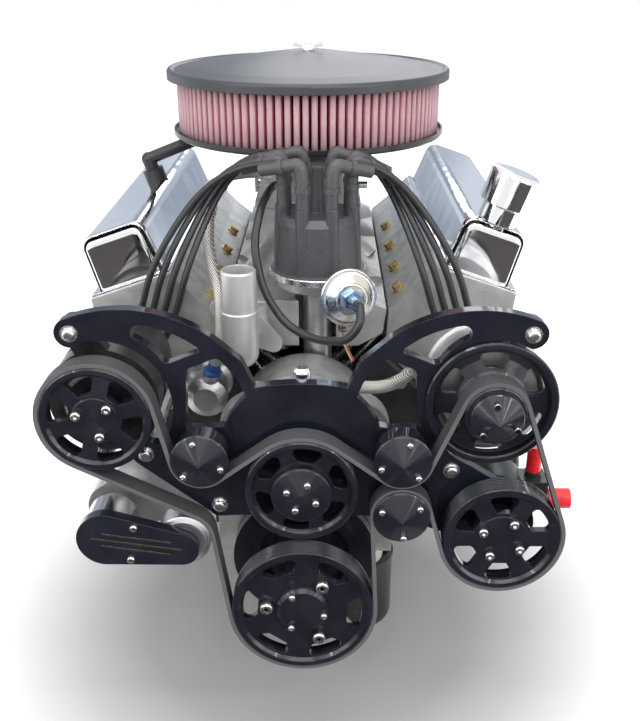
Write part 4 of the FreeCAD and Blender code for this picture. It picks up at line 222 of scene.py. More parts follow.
# Narrow lamps draw the bright lines along rims and chamfers
soft_lamp("left_strip", (-1.3, -2.0, 1.2), (0, -0.7, 0.1), 0.07, 1.3, 7)
soft_lamp("right_strip", (1.2, -2.1, 1.3), (0, -0.7, 0.1), 0.07, 1.3, 7)
soft_lamp("over_strip", (0, -1.5, 1.9), (0, -0.7, 0.1), 1.6, 0.07, 7)


# Engine block. Cast iron with a rough sand-cast skin under thin satin black paint, as it comes from
# the foundry; the machined faces carry the heads, the timing cover and the pan.
class Finish:
    """A procedural material whose patterns read the Object coordinates, in metres."""

    def __init__(self, name, colour, metallic, roughness):
        self.material = bpy.data.materials.new(name)
        self.material.use_nodes = True
        self.nodes = self.material.node_tree.nodes
        self.links = self.material.node_tree.links
        self.surface = self.nodes["Principled BSDF"]
        self.surface.inputs["Base Color"].default_value = (*colour, 1)
        self.surface.inputs["Metallic"].default_value = metallic
        self.surface.inputs["Roughness"].default_value = roughness
        self.place = self.nodes.new("ShaderNodeTexCoord")
        self.normal = None
        self.material.diffuse_color = (*colour, 1)

    def centred(self, centre, scale=(1, 1, 1)):
        """Object coordinates measured from a centre and stretched along the axes."""
        shift = self.nodes.new("ShaderNodeMapping")
        shift.vector_type = "POINT"
        shift.inputs["Scale"].default_value = scale
        shift.inputs["Location"].default_value = [-c * s for c, s in zip(centre, scale)]
        self.links.new(self.place.outputs["Object"], shift.inputs["Vector"])
        return shift.outputs["Vector"]

    def noise(self, scale, detail=3, where=None):
        """Soft random clouds, or grains where the scale is large."""
        texture = self.nodes.new("ShaderNodeTexNoise")
        texture.inputs["Scale"].default_value = scale
        texture.inputs["Detail"].default_value = detail
        self.links.new(where or self.place.outputs["Object"], texture.inputs["Vector"])
        return texture.outputs["Fac"]

    def between(self, value, low, high, from_low=0.3, from_high=0.7):
        """A pattern's value carried over to the range low to high."""
        return span_node(self.material.node_tree, value, low, high, from_low, from_high)

    def vary_colour(self, value, first, second, from_low=0.3, from_high=0.7):
        """The colour runs from first to second with a pattern's value."""
        ramp = self.nodes.new("ShaderNodeValToRGB")
        ramp.color_ramp.elements[0].position = from_low
        ramp.color_ramp.elements[0].color = (*first, 1)
        ramp.color_ramp.elements[1].position = from_high
        ramp.color_ramp.elements[1].color = (*second, 1)
        self.links.new(value, ramp.inputs["Fac"])
        self.links.new(ramp.outputs["Color"], self.surface.inputs["Base Color"])
        return ramp

    def vary_roughness(self, value, low, high, from_low=0.3, from_high=0.7):
        """The roughness runs from low to high with a pattern's value."""
        self.links.new(self.between(value, low, high, from_low, from_high),
                       self.surface.inputs["Roughness"])

    def bump(self, value, depth, strength=1.0):
        """Relief of a given depth in metres, on top of what is there already."""
        relief = self.nodes.new("ShaderNodeBump")
        relief.inputs["Strength"].default_value = strength
        relief.inputs["Distance"].default_value = depth
        self.links.new(value, relief.inputs["Height"])
        if self.normal is not None:
            self.links.new(self.normal, relief.inputs["Normal"])
        self.normal = relief.outputs["Normal"]
        self.links.new(self.normal, self.surface.inputs["Normal"])

    def along(self, axis, low, high):
        """A mask that grows from 0 to 1 between two places along an axis."""
        parts = self.nodes.new("ShaderNodeSeparateXYZ")
        self.links.new(self.place.outputs["Object"], parts.inputs["Vector"])
        return self.between(parts.outputs[axis], 0, 1, low, high)

    def blend_colour(self, mask, colour):
        """Another colour laid over the present one where the mask is 1."""
        base = self.surface.inputs["Base Color"]
        mix = self.nodes.new("ShaderNodeMix")
        mix.data_type = "RGBA"
        self.links.new(mask, mix.inputs[0])
        self.links.new(base.links[0].from_socket, mix.inputs[6])
        mix.inputs[7].default_value = (*colour, 1)
        self.links.new(mix.outputs[2], base)

    def round_edges(self, radius):
        """Edges that catch the light as a small radius does."""
        soft = self.nodes.new("ShaderNodeBevel")
        soft.samples = 4
        soft.inputs["Radius"].default_value = radius
        self.normal = soft.outputs["Normal"]
        self.links.new(self.normal, self.surface.inputs["Normal"])

    def dress(self, *names):
        """Puts the finish on CAD nodes."""
        for name in names:
            slots = frame["nodes"][name].data.materials
            slots.clear()
            slots.append(self.material)


def cast_finish(name, dark, light, metallic, roughness, depth=0.0004):
    """Sand-cast skin: fine grains, broad pits and slight clouding."""
    finish = Finish(name, light, metallic, roughness)
    finish.round_edges(0.0012)
    grains = finish.noise(900, 4)
    clouds = finish.noise(45, 3)
    finish.vary_colour(clouds, dark, light)
    finish.vary_roughness(grains, roughness - 0.08, roughness + 0.1)
    finish.bump(grains, depth)
    finish.bump(clouds, depth * 2, 0.4)
    return finish


block_skin = cast_finish("block_paint", (0.012, 0.012, 0.013), (0.028, 0.028, 0.03), 0.0, 0.4)
block_skin.dress("engine_block", "main_bearing_caps", "oil_pump")


# Crankshaft, camshaft, pistons and valve train. The shafts and rockers are forged steel under a film
# of oil; the pins, stems, timing wheels and chain are ground brighter. All lie behind the covers.
def steel_finish(name, colour, roughness, oiled=0.3):
    """Bare steel: fine streaks along the engine and a film of oil."""
    finish = Finish(name, colour, 1.0, roughness)
    finish.round_edges(0.0005)
    streaks = finish.noise(500, 3, finish.centred((0, 0, 0), (1, 0.05, 1)))
    dark = [c * (1 - oiled) for c in colour]
    finish.vary_colour(streaks, dark, colour)
    finish.vary_roughness(streaks, roughness - 0.06, roughness + 0.12)
    finish.bump(streaks, 0.00008)
    return finish


forged = steel_finish("forged_steel", (0.36, 0.36, 0.37), 0.38)
forged.dress("crankshaft", "camshaft", "rocker_arms", "water_pump_impeller")
ground = steel_finish("ground_steel", (0.62, 0.62, 0.63), 0.24, 0.15)
ground.dress("lifters", "pushrods", "valves", "pistons", "cam_sprocket", "crank_sprocket",
             "timing_chain")


# Oil pan and head gaskets. Pressed sheet steel in satin black, and thin composite gaskets whose
# edges show as a dark line between block and heads.
pan_paint = cast_finish("pan_paint", (0.02, 0.02, 0.022), (0.035, 0.035, 0.038), 0.0, 0.34, 0.0001)
pan_paint.dress("oil_pan")
gasket_sheet = cast_finish("gasket_sheet", (0.08, 0.08, 0.08), (0.12, 0.12, 0.12), 0.3, 0.6, 0.0002)
gasket_sheet.dress("head_gaskets")


# Castings. Heads, manifold, timing cover and water pump are sand-cast aluminium with a pale grained
# skin; the coolant neck is bead-blasted, the carburettor, alternator and distributor housing are
# smoother die castings, and the compressor and steering pump are painted black.
raw_casting = cast_finish("cast_aluminium", (0.42, 0.42, 0.415), (0.60, 0.60, 0.595),
                          0.75, 0.46, 0.0005)
raw_casting.dress("cylinder_heads", "intake_manifold", "timing_cover", "water_pump_body")
housing_skin = cast_finish("bead_blasted", (0.66, 0.66, 0.655), (0.74, 0.74, 0.735), 0.7, 0.36, 0.0002)
housing_skin.dress("thermostat_housing")
smooth_casting = cast_finish("die_cast", (0.50, 0.50, 0.505), (0.66, 0.66, 0.665), 0.85, 0.33, 0.0002)
smooth_casting.dress("carburetor_body", "alternator_body", "tensioner_base", "distributor_housing")
black_casting = cast_finish("black_casting", (0.012, 0.012, 0.013), (0.03, 0.03, 0.032),
                            0.0, 0.3, 0.0002)
black_casting.dress("compressor_body", "steering_pump_body")


# Valve covers and filler cap. Deep-drawn steel shells with mirror chrome plating, slightly wavy
# where the press drew the sheet, so the reflections bend along the flanks. The wing nut and the
# coolant pipe are plated as they are.
chrome = Finish("chrome", (0.86, 0.87, 0.89), 1.0, 0.045)
chrome.round_edges(0.0015)
ripple = chrome.noise(9, 2)
chrome.bump(ripple, 0.0035, 0.5)
haze = chrome.noise(60, 4)
chrome.vary_roughness(haze, 0.03, 0.08)
chrome.dress("left_valve_cover", "right_valve_cover", "oil_filler_cap", "wing_nut", "coolant_pipe")


# Air cleaner. A pressed steel lid and base in satin black powder coat, with a fine orange-peel skin
# and glossy rolled rims, round a cotton element.
lid_coat = Finish("lid_coat", (0.04, 0.042, 0.048), 0.0, 0.36)
lid_coat.round_edges(0.0012)
peel = lid_coat.noise(1400, 2)
lid_clouds = lid_coat.noise(14, 2)
lid_coat.vary_colour(lid_clouds, (0.034, 0.036, 0.042), (0.048, 0.05, 0.057))
lid_coat.vary_roughness(peel, 0.3, 0.42)
lid_coat.bump(peel, 0.00018)
lid_coat.dress("air_cleaner_lid")
base_coat = Finish("base_coat", (0.018, 0.018, 0.02), 0.0, 0.22)
base_coat.round_edges(0.001)
base_peel = base_coat.noise(700, 2)
base_coat.vary_colour(base_peel, (0.014, 0.014, 0.016), (0.024, 0.024, 0.027))
base_coat.bump(base_peel, 0.0001)
base_coat.dress("air_cleaner_base")


# Filter element. Oiled red cotton gauze folded into a hundred deep pleats between two wire screens,
# with its ends moulded into rings of black rubber that seal on the base and the lid.
def settle(piece, angle=35):
    """Back in object mode, with its place in its mesh and its round faces smooth."""
    if piece.mode == "EDIT":
        bpy.ops.object.mode_set(mode="OBJECT")
    bpy.ops.object.select_all(action="DESELECT")
    piece.select_set(True)
    bpy.context.view_layer.objects.active = piece
    bpy.ops.object.transform_apply(location=True, rotation=True, scale=True)
    bpy.ops.object.shade_smooth_by_angle(angle=math.radians(angle))
    piece.select_set(False)
    return piece


def finish_piece(piece, name, finish, body):
    """Names a new piece, gives it its finish and lets it ride on its body."""
    piece.name = name
    piece.data.name = name
    piece.data.materials.clear()
    piece.data.materials.append(finish.material)
    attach(piece, body)
    return piece


element_low, element_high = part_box("filter_element")
filter_centre = (element_low + element_high) / 2
element_radius = (element_high.x - element_low.x) / 2
seal_height = 0.004
pleat_count = 100
pleat_depth = 0.018
ridge = 0.24
points_per_pleat = 6
# Each fold has a rounded ridge of three points and a narrow root of three
fold_shares = (-ridge, 0, ridge, 0.5 - ridge / 4, 0.5, 0.5 + ridge / 4)
fold_depths = (0.0012, 0.0002, 0.0012, pleat_depth - 0.001, pleat_depth, pleat_depth - 0.001)
bpy.ops.mesh.primitive_circle_add(vertices=pleat_count * points_per_pleat, radius=element_radius,
                                  fill_type="NOTHING",
                                  location=(filter_centre.x, filter_centre.y,
                                            element_low.z + seal_height * 0.5))
pleats = bpy.context.object
bpy.ops.object.mode_set(mode="EDIT")
fold = bmesh.from_edit_mesh(pleats.data)
for index, corner in enumerate(sorted(fold.verts, key=lambda v: math.atan2(v.co.y, v.co.x))):
    step = index % points_per_pleat
    share = index // points_per_pleat + fold_shares[step]
    turn = share * 2 * math.pi / pleat_count
    reach = element_radius - fold_depths[step]
    corner.co = (reach * math.cos(turn), reach * math.sin(turn), 0)
bmesh.update_edit_mesh(pleats.data)
bpy.ops.mesh.select_all(action="SELECT")
bpy.ops.mesh.extrude_region_move(
    TRANSFORM_OT_translate={"value": (0, 0, element_high.z - element_low.z - seal_height)})
settle(pleats, 50)
gauze_wall = pleats.modifiers.new("gauze", "SOLIDIFY")
gauze_wall.thickness = 0.0008
bpy.context.view_layer.objects.active = pleats
bpy.ops.object.modifier_apply(modifier=gauze_wall.name)

gauze = Finish("red_gauze", (0.60, 0.13, 0.17), 0.0, 0.7)
from_axis = gauze.nodes.new("ShaderNodeVectorMath")
from_axis.operation = "LENGTH"
gauze.links.new(gauze.centred((filter_centre.x, filter_centre.y, 0), (1, 1, 0)),
                from_axis.inputs[0])
# Painted shade and highlight: the gauze is painted dark towards the roots of the folds and pale along
# the ridge tips
fold_shade_and_highlight_mask = gauze.between(from_axis.outputs["Value"], 0, 1,
                         element_radius - pleat_depth, element_radius)
fold_shade_and_highlight_ramp = gauze.vary_colour(fold_shade_and_highlight_mask, (0.22, 0.02, 0.035), (0.66, 0.17, 0.23), 0.0, 0.84)
painted_ridge_highlight = fold_shade_and_highlight_ramp.color_ramp.elements.new(0.97)
painted_ridge_highlight.color = (0.80, 0.52, 0.57, 1)
wires = gauze.nodes.new("ShaderNodeTexWave")
wires.bands_direction = "Z"
wires.inputs["Scale"].default_value = 260
gauze.links.new(gauze.place.outputs["Object"], wires.inputs["Vector"])
gauze.bump(wires.outputs["Fac"], 0.0006)
gauze.bump(gauze.noise(1500, 3), 0.0004)
finish_piece(pleats, "filter_pleats", gauze, "root")
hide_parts("filter_element")

seal_rubber = Finish("seal_rubber", (0.02, 0.02, 0.022), 0.0, 0.45)
seal_grain = seal_rubber.noise(700, 3)
seal_rubber.vary_colour(seal_grain, (0.014, 0.014, 0.016), (0.03, 0.03, 0.033))
seal_rubber.bump(seal_grain, 0.0002)
for seal_name, seal_z in (("lower_seal", element_low.z + seal_height / 2),
                          ("upper_seal", element_high.z - seal_height / 2)):
    bpy.ops.mesh.primitive_torus_add(major_radius=element_radius - pleat_depth / 2,
                                     minor_radius=pleat_depth / 2, major_segments=128,
                                     minor_segments=12,
                                     location=(filter_centre.x, filter_centre.y, seal_z))
    seal = bpy.context.object
    bpy.ops.object.mode_set(mode="EDIT")
    bpy.ops.mesh.select_all(action="SELECT")
    bpy.ops.transform.resize(value=(1, 1, seal_height / pleat_depth))
    settle(seal, 60)
    finish_piece(seal, seal_name, seal_rubber, "root")


# Rear end of the valley. The block's cast end wall stands up to the manifold, with a moulded rubber
# seal between the two that follows the manifold's underside.
def end_plate(half, near, far):
    """A flat form cut to a mirrored outline across the engine, from one station to another."""
    corners = list(half) + [(-across, height) for across, height in reversed(half)]
    bpy.ops.mesh.primitive_circle_add(vertices=len(corners), radius=0.1, fill_type="NGON")
    plate = bpy.context.object
    bpy.ops.object.mode_set(mode="EDIT")
    form = bmesh.from_edit_mesh(plate.data)
    for corner, (across, height) in zip(form.verts, corners):
        corner.co = (across, near, height)
    bmesh.update_edit_mesh(plate.data)
    bpy.ops.mesh.select_all(action="SELECT")
    bpy.ops.mesh.extrude_region_move(TRANSFORM_OT_translate={"value": (0, far - near, 0)})
    bpy.ops.mesh.select_all(action="SELECT")
    bpy.ops.mesh.normals_make_consistent(inside=False)
    bpy.ops.mesh.bevel(offset=0.0008, segments=2, affect="EDGES")
    return settle(plate)


wall_half = ((0.0560, 0.1512), (0.0620, 0.1552), (0.0849, 0.1930), (0.0932, 0.2014),
             (0.0940, 0.2024), (0.0958, 0.2280), (0.0902, 0.2286), (0.0620, 0.2128))
end_seal_half = ((0.0618, 0.2126), (0.0902, 0.2284), (0.0902, 0.2316), (0.0620, 0.2157))
wall_rear, wall_front = -0.020, -0.042
seal_inset = 0.0015
valley_wall = end_plate(wall_half, wall_rear, wall_front)
finish_piece(valley_wall, "valley_end_wall", block_skin, "root")
valley_seal = end_plate(end_seal_half, wall_rear - seal_inset, wall_front + seal_inset)
finish_piece(valley_seal, "valley_end_seal", seal_rubber, "root")


# Bracket, pulleys and idler caps. Billet aluminium, machined, polished and anodised black, so the
# faces are dark mirrors and every chamfer draws a thin bright line.
def anodised_finish(name, colour, roughness, centre=None):
    """Black anodised metal; round an axle the turning cuts show as fine rings."""
    finish = Finish(name, colour, 0.0, roughness)
    finish.surface.inputs["Specular IOR Level"].default_value = 0.45
    finish.surface.inputs["Coat Weight"].default_value = 0.3
    finish.surface.inputs["Coat Roughness"].default_value = 0.03
    finish.round_edges(0.0011)
    clouds = finish.noise(30, 3)
    light = [c * 1.5 + 0.004 for c in colour]
    finish.vary_colour(clouds, colour, light)
    if centre is None:
        cuts = finish.noise(60, 2, finish.centred((0, 0, 0), (1, 1, 14)))
    else:
        rings = finish.nodes.new("ShaderNodeTexWave")
        rings.wave_type = "RINGS"
        rings.rings_direction = "Y"
        rings.inputs["Scale"].default_value = 420
        rings.inputs["Distortion"].default_value = 0.6
        finish.links.new(finish.centred(centre), rings.inputs["Vector"])
        cuts = rings.outputs["Fac"]
    finish.vary_roughness(cuts, roughness - 0.04, roughness + 0.05, 0, 1)
    finish.bump(cuts, 0.00005)
    return finish


plate_black = (0.007, 0.008, 0.014)
anodised_finish("black_anodised", plate_black, 0.13).dress("accessory_bracket")
# The tensioner's cover is anodised; the arm behind it is bare cast aluminium
cover_back = -0.7125
arm_metal = anodised_finish("arm_metal", plate_black, 0.13)
arm_back = arm_metal.along("Y", cover_back - 0.0001, cover_back + 0.0001)
arm_metal.blend_colour(arm_back, (0.55, 0.55, 0.56))
arm_metal.links.new(arm_back, arm_metal.surface.inputs["Metallic"])
arm_metal.dress("tensioner_arm")
# Each wheel turns round the axis of its own joint
axles = {joint["child"]: joint["pos_m"] for joint in frame["joints"] if "pos_m" in joint}
wheel_bodies = {"crank_pulley": "crank", "harmonic_balancer": "crank",
                "water_pump_pulley": "water_pump", "compressor_pulley": "compressor",
                "alternator_pulley": "alternator", "steering_pulley": "steering",
                "left_idler_pulley": "idler_left", "right_upper_idler_pulley": "idler_right_upper",
                "right_lower_idler_pulley": "idler_right_lower"}
for wheel, body in wheel_bodies.items():
    across, _, height = axles[body]
    anodised_finish(f"{wheel}_finish", (0.007, 0.008, 0.013), 0.11, (across, 0, height)).dress(wheel)


# Bracket bolts, standoffs and tensioner pulley. The bolts are button-head screws of bright plated
# steel that clamp the bracket on turned standoffs; the pulley is a plain rolled steel drum.
bright_steel = steel_finish("bright_steel", (0.80, 0.80, 0.80), 0.2, 0.08)
bright_steel.dress("bracket_fixings")
pale_steel = steel_finish("pale_steel", (0.72, 0.73, 0.74), 0.34, 0.06)
pale_steel.dress("tensioner_pulley")


# Pulley screws. Button-head socket screws of bright plated steel hold the coned caps and pulleys;
# each set turns with its own wheel.
def button_screw(radius, height):
    """One screw head that faces the front: round and domed, with a recess for its key."""
    bpy.ops.mesh.primitive_cylinder_add(vertices=24, radius=radius, depth=height, location=(0, 0, 0),
                                        rotation=(math.pi / 2, 0, 0))
    screw = bpy.context.object
    bpy.ops.object.mode_set(mode="EDIT")
    bpy.ops.mesh.select_mode(type="FACE")
    bpy.ops.mesh.select_all(action="DESELECT")
    head = bmesh.from_edit_mesh(screw.data)
    for face in head.faces:
        face.select = face.normal.z > 0.9
    bmesh.update_edit_mesh(screw.data)
    bpy.ops.mesh.bevel(offset=height * 0.55, segments=4, affect="EDGES")
    bpy.ops.mesh.select_all(action="DESELECT")
    head = bmesh.from_edit_mesh(screw.data)
    top = max(head.faces, key=lambda face: face.calc_center_median().z)
    top.select = True
    bmesh.update_edit_mesh(screw.data)
    bpy.ops.mesh.inset(thickness=radius * 0.22)
    bpy.ops.mesh.extrude_region_move(TRANSFORM_OT_translate={"value": (0, height * 0.5, 0)})
    return settle(screw)


def join_all(pieces):
    """Several objects made into one."""
    bpy.ops.object.select_all(action="DESELECT")
    for piece in pieces:
        piece.select_set(True)
    bpy.context.view_layer.objects.active = pieces[0]
    bpy.ops.object.join()
    bpy.context.object.select_set(False)
    return bpy.context.view_layer.objects.active


def screw_set(name, body, front, circle, angles, radius, height=0.0035, middle=None):
    """Screws at angles on a circle round a body's axle or another middle, joined into one piece."""
    middle = middle or axles[body]
    master = button_screw(radius, height)
    copies = []
    for angle in angles:
        turn = math.radians(angle)
        copy = bpy.data.objects.new(f"{name}_{angle}", master.data.copy())
        copy.data.transform(Matrix.Translation((middle[0] + circle * math.cos(turn), front - height / 2,
                                                middle[2] + circle * math.sin(turn))))
        bpy.context.scene.collection.objects.link(copy)
        copies.append(copy)
    bpy.data.objects.remove(master)
    return finish_piece(join_all(copies), name, bright_steel, body)


small_head = 0.0034
cap_head = 0.0036
hub_head = 0.005
idler_face = -0.7125
idler_circle = 0.022
screw_set("crank_pulley_bolts", "crank", -0.7080, 0.0385, (57, 173, -63), 0.0070, 0.005)
screw_set("crank_cap_screws", "crank", -0.7110, 0.023, (118, -9, -122), cap_head)
screw_set("pump_cap_screws", "water_pump", -0.7180, 0.0156, (67, 157, 247, 337), cap_head)
screw_set("compressor_screws", "compressor", -0.7085, 0.018, (43, 163, -77), hub_head)
screw_set("alternator_screws", "alternator", -0.7240, 0.019, (100, 220, 340), small_head)
screw_set("steering_screws", "steering", -0.7085, 0.022, (60, 154, -31, -121), hub_head)
screw_set("left_idler_screws", "idler_left", idler_face, idler_circle, (103, 223, 343), small_head)
screw_set("upper_idler_screws", "idler_right_upper", idler_face, idler_circle, (75, 195, 315),
          small_head)
screw_set("lower_idler_screws", "idler_right_lower", idler_face, idler_circle, (36, 156, 276),
          small_head)


# Tensioner cover's screws and inlays. Two button heads hold the oval cover on the arm, and three thin
# brass-coloured strips lie in the grooves of its face.
cover_middle = (-0.1701, 0, 0.0967)
screw_set("tensioner_cover_screws", "tensioner_arm", -0.7245, 0.0190, (81.6, 261.6), 0.0040, 0.0033,
          cover_middle)
cover_face = -0.7236
cover_tilt = 8.37
inlay_depth = 0.0008
inlay_width = 0.0009
inlays = []
for shift, start, end in ((0.007, -0.004, 0.066), (0, -0.014, 0.078), (-0.007, -0.004, 0.066)):
    bpy.ops.mesh.primitive_cube_add(size=1, location=((start + end) / 2, cover_face, shift))
    inlay = bpy.context.object
    inlay.scale = (end - start, inlay_depth, inlay_width)
    bpy.ops.object.transform_apply(location=True, scale=True)
    bpy.ops.object.mode_set(mode="EDIT")
    bpy.ops.mesh.select_all(action="SELECT")
    bpy.ops.mesh.bevel(offset=0.0002, segments=1, affect="EDGES")
    bpy.ops.object.mode_set(mode="OBJECT")
    inlays.append(inlay)
inlay = join_all(inlays)
arm_across, _, arm_height = axles["tensioner_arm"]
inlay.rotation_euler = (0, math.radians(cover_tilt), 0)
inlay.location = (arm_across, 0, arm_height)
settle(inlay)
brass = steel_finish("brass", (0.80, 0.56, 0.22), 0.25, 0.1)
finish_piece(inlay, "cover_inlays", brass, "tensioner_arm")


# Drive belt. Black rubber with six ribs inside and a smooth back; the rib tips and the cut front
# edge are coloured paler.
belt_rubber = Finish("belt_rubber", (0.03, 0.03, 0.032), 0.0, 0.55)
rib_pitch = 0.0025
front_edge = -0.7066
# At a scale of 1 the bands of this pattern lie 2 pi / 20 m apart
rib_bands = belt_rubber.nodes.new("ShaderNodeTexWave")
rib_bands.bands_direction = "Y"
rib_bands.inputs["Scale"].default_value = 2 * math.pi / 20 / rib_pitch
belt_rubber.links.new(belt_rubber.place.outputs["Object"], rib_bands.inputs["Vector"])
belt_rubber.vary_colour(rib_bands.outputs["Fac"], (0.018, 0.018, 0.02), (0.11, 0.11, 0.115),
                        0.45, 0.95)
belt_rubber.blend_colour(belt_rubber.along("Y", front_edge + 0.0006, front_edge), (0.10, 0.10, 0.105))
belt_rubber.bump(rib_bands.outputs["Fac"], 0.0005)
belt_rubber.bump(belt_rubber.noise(2500, 2), 0.0001)
belt_rubber.dress("drive_belt")


# Distributor. A black moulded cap on an aluminium housing, and a zinc-plated vacuum can with a blue
# and yellow sheen. The throttle shaft has the same plating.
cap_plastic = Finish("cap_plastic", (0.06, 0.06, 0.066), 0.0, 0.34)
cap_plastic.round_edges(0.0012)
moulded = cap_plastic.noise(600, 3)
cap_plastic.vary_colour(moulded, (0.045, 0.046, 0.052), (0.075, 0.077, 0.085))
cap_plastic.vary_roughness(moulded, 0.26, 0.4)
cap_plastic.bump(moulded, 0.0002)
cap_plastic.dress("distributor_cap", "distributor_rotor")
zinc = Finish("zinc_plate", (0.62, 0.66, 0.72), 1.0, 0.22)
zinc.round_edges(0.0008)
tint = zinc.noise(28, 2)
zinc.vary_colour(tint, (0.52, 0.60, 0.72), (0.76, 0.74, 0.66), 0.35, 0.65)
zinc.vary_roughness(zinc.noise(300, 3), 0.16, 0.3)
zinc.dress("throttle_shaft")


def lathe(steps, start, direction, sides=48, angle=35):
    """A turned form: a disc pulled up along its axis step by step, each a height and a radius."""
    bpy.ops.mesh.primitive_circle_add(vertices=sides, radius=steps[0][1], fill_type="NGON")
    piece = bpy.context.object
    bpy.ops.object.mode_set(mode="EDIT")
    bpy.ops.mesh.select_all(action="SELECT")
    height, radius = steps[0]
    for next_height, next_radius in steps[1:]:
        ratio = next_radius / radius
        bpy.ops.mesh.extrude_region_move(TRANSFORM_OT_translate={"value": (0, 0, next_height - height)})
        bpy.ops.transform.resize(value=(ratio, ratio, 1), center_override=(0, 0, 0))
        height, radius = next_height, next_radius
    bpy.ops.mesh.select_all(action="SELECT")
    bpy.ops.mesh.normals_make_consistent(inside=False)
    bpy.ops.object.mode_set(mode="OBJECT")
    piece.rotation_euler = Vector(direction).to_track_quat("Z", "Y").to_euler()
    piece.location = start
    return settle(piece, angle)


# The can is a pressed dish with a rolled rim; a blued hexagon holds the hose nipple in its middle
can_start = Vector((0.040, -0.5192, 0.293))
can_ahead = Vector((0.28, -1, 0.12)).normalized()
can = lathe([(0, 0.004), (0.018, 0.004), (0.020, 0.012), (0.0275, 0.0285), (0.0292, 0.0312),
             (0.0310, 0.0320), (0.0332, 0.0318), (0.0346, 0.0306), (0.0345, 0.0288),
             (0.0350, 0.0268), (0.0372, 0.0248), (0.0402, 0.0200), (0.0420, 0.0182),
             (0.0436, 0.0178), (0.0444, 0.0165), (0.0446, 0.0060), (0.0500, 0.0050),
             (0.0610, 0.0046)], can_start, can_ahead, 64, 25)
finish_piece(can, "vacuum_can", zinc, "root")
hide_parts("vacuum_advance")
blued = steel_finish("blued_steel", (0.30, 0.45, 0.66), 0.22, 0.35)
can_depth = 0.0444
can_nut = lathe([(0, 0.0128), (0.0065, 0.0128), (0.0080, 0.0110)],
                can_start + can_ahead * can_depth, can_ahead, 6)
finish_piece(can_nut, "can_nut", blued, "root")

# Eight moulded ribs run from the towers down the side of the cap, above a bright clamp band
cap_spot = Vector((0.014, -0.478, 0))
first_tower = 22.5
tower_pitch = 45
ribs = []
for turn in range(8):
    angle = math.radians(first_tower + tower_pitch * turn)
    outward = Vector((math.cos(angle), math.sin(angle), 0))
    foot = cap_spot + Vector((0, 0, 0.3125)) + outward * 0.0488
    head = cap_spot + Vector((0, 0, 0.385)) + outward * 0.0420
    reach = (head - foot).length
    ribs.append(lathe([(0, 0.0034), (reach * 0.5, 0.0062), (reach, 0.0080)], foot, head - foot, 16, 60))
finish_piece(join_all(ribs), "cap_ribs", cap_plastic, "root")
clamp_band = lathe([(0, 0.0550), (0.0008, 0.0556), (0.0070, 0.0556), (0.0078, 0.0550)],
                   cap_spot + Vector((0, 0, 0.3012)), (0, 0, 1), 96)
finish_piece(clamp_band, "clamp_band", bright_steel, "root")


# Plugs, wires and hoses. Black silicone leads with a soft sheen, grey-black boots, a moulded vacuum
# hose, and hoses with a woven stainless cover.
def rubber_finish(name, dark, light, roughness):
    """Moulded rubber with a dusty bloom."""
    finish = Finish(name, light, 0.0, roughness)
    powder = finish.noise(350, 4)
    finish.vary_colour(powder, dark, light)
    finish.vary_roughness(powder, roughness - 0.08, roughness + 0.08)
    finish.bump(finish.noise(1800, 2), 0.00012)
    return finish


lead_rubber = rubber_finish("lead_rubber", (0.014, 0.014, 0.016), (0.028, 0.028, 0.031), 0.36)
lead_rubber.dress("vacuum_lines")


def hose_along(routes, radius, sides=12):
    """Smooth round tubes along routes of points, all in one mesh."""
    line = bpy.data.curves.new("route", "CURVE")
    line.dimensions = "3D"
    line.bevel_depth = radius
    line.bevel_resolution = max(0, sides // 4 - 1)
    line.use_fill_caps = True
    line.resolution_u = 8
    for route in routes:
        spline = line.splines.new("NURBS")
        spline.points.add(len(route) - 1)
        for point, spot in zip(spline.points, route):
            point.co = (*spot, 1)
        spline.order_u = 3
        spline.use_endpoint_u = True
    tube = bpy.data.objects.new("tube", line)
    bpy.context.scene.collection.objects.link(tube)
    bpy.ops.object.select_all(action="DESELECT")
    tube.select_set(True)
    bpy.context.view_layer.objects.active = tube
    bpy.ops.object.convert(target="MESH")
    tube = bpy.context.object
    bpy.ops.object.mode_set(mode="EDIT")
    bpy.ops.mesh.select_all(action="SELECT")
    bpy.ops.mesh.remove_doubles(threshold=0.00001)
    bpy.ops.mesh.normals_make_consistent(inside=False)
    return settle(tube, 60)


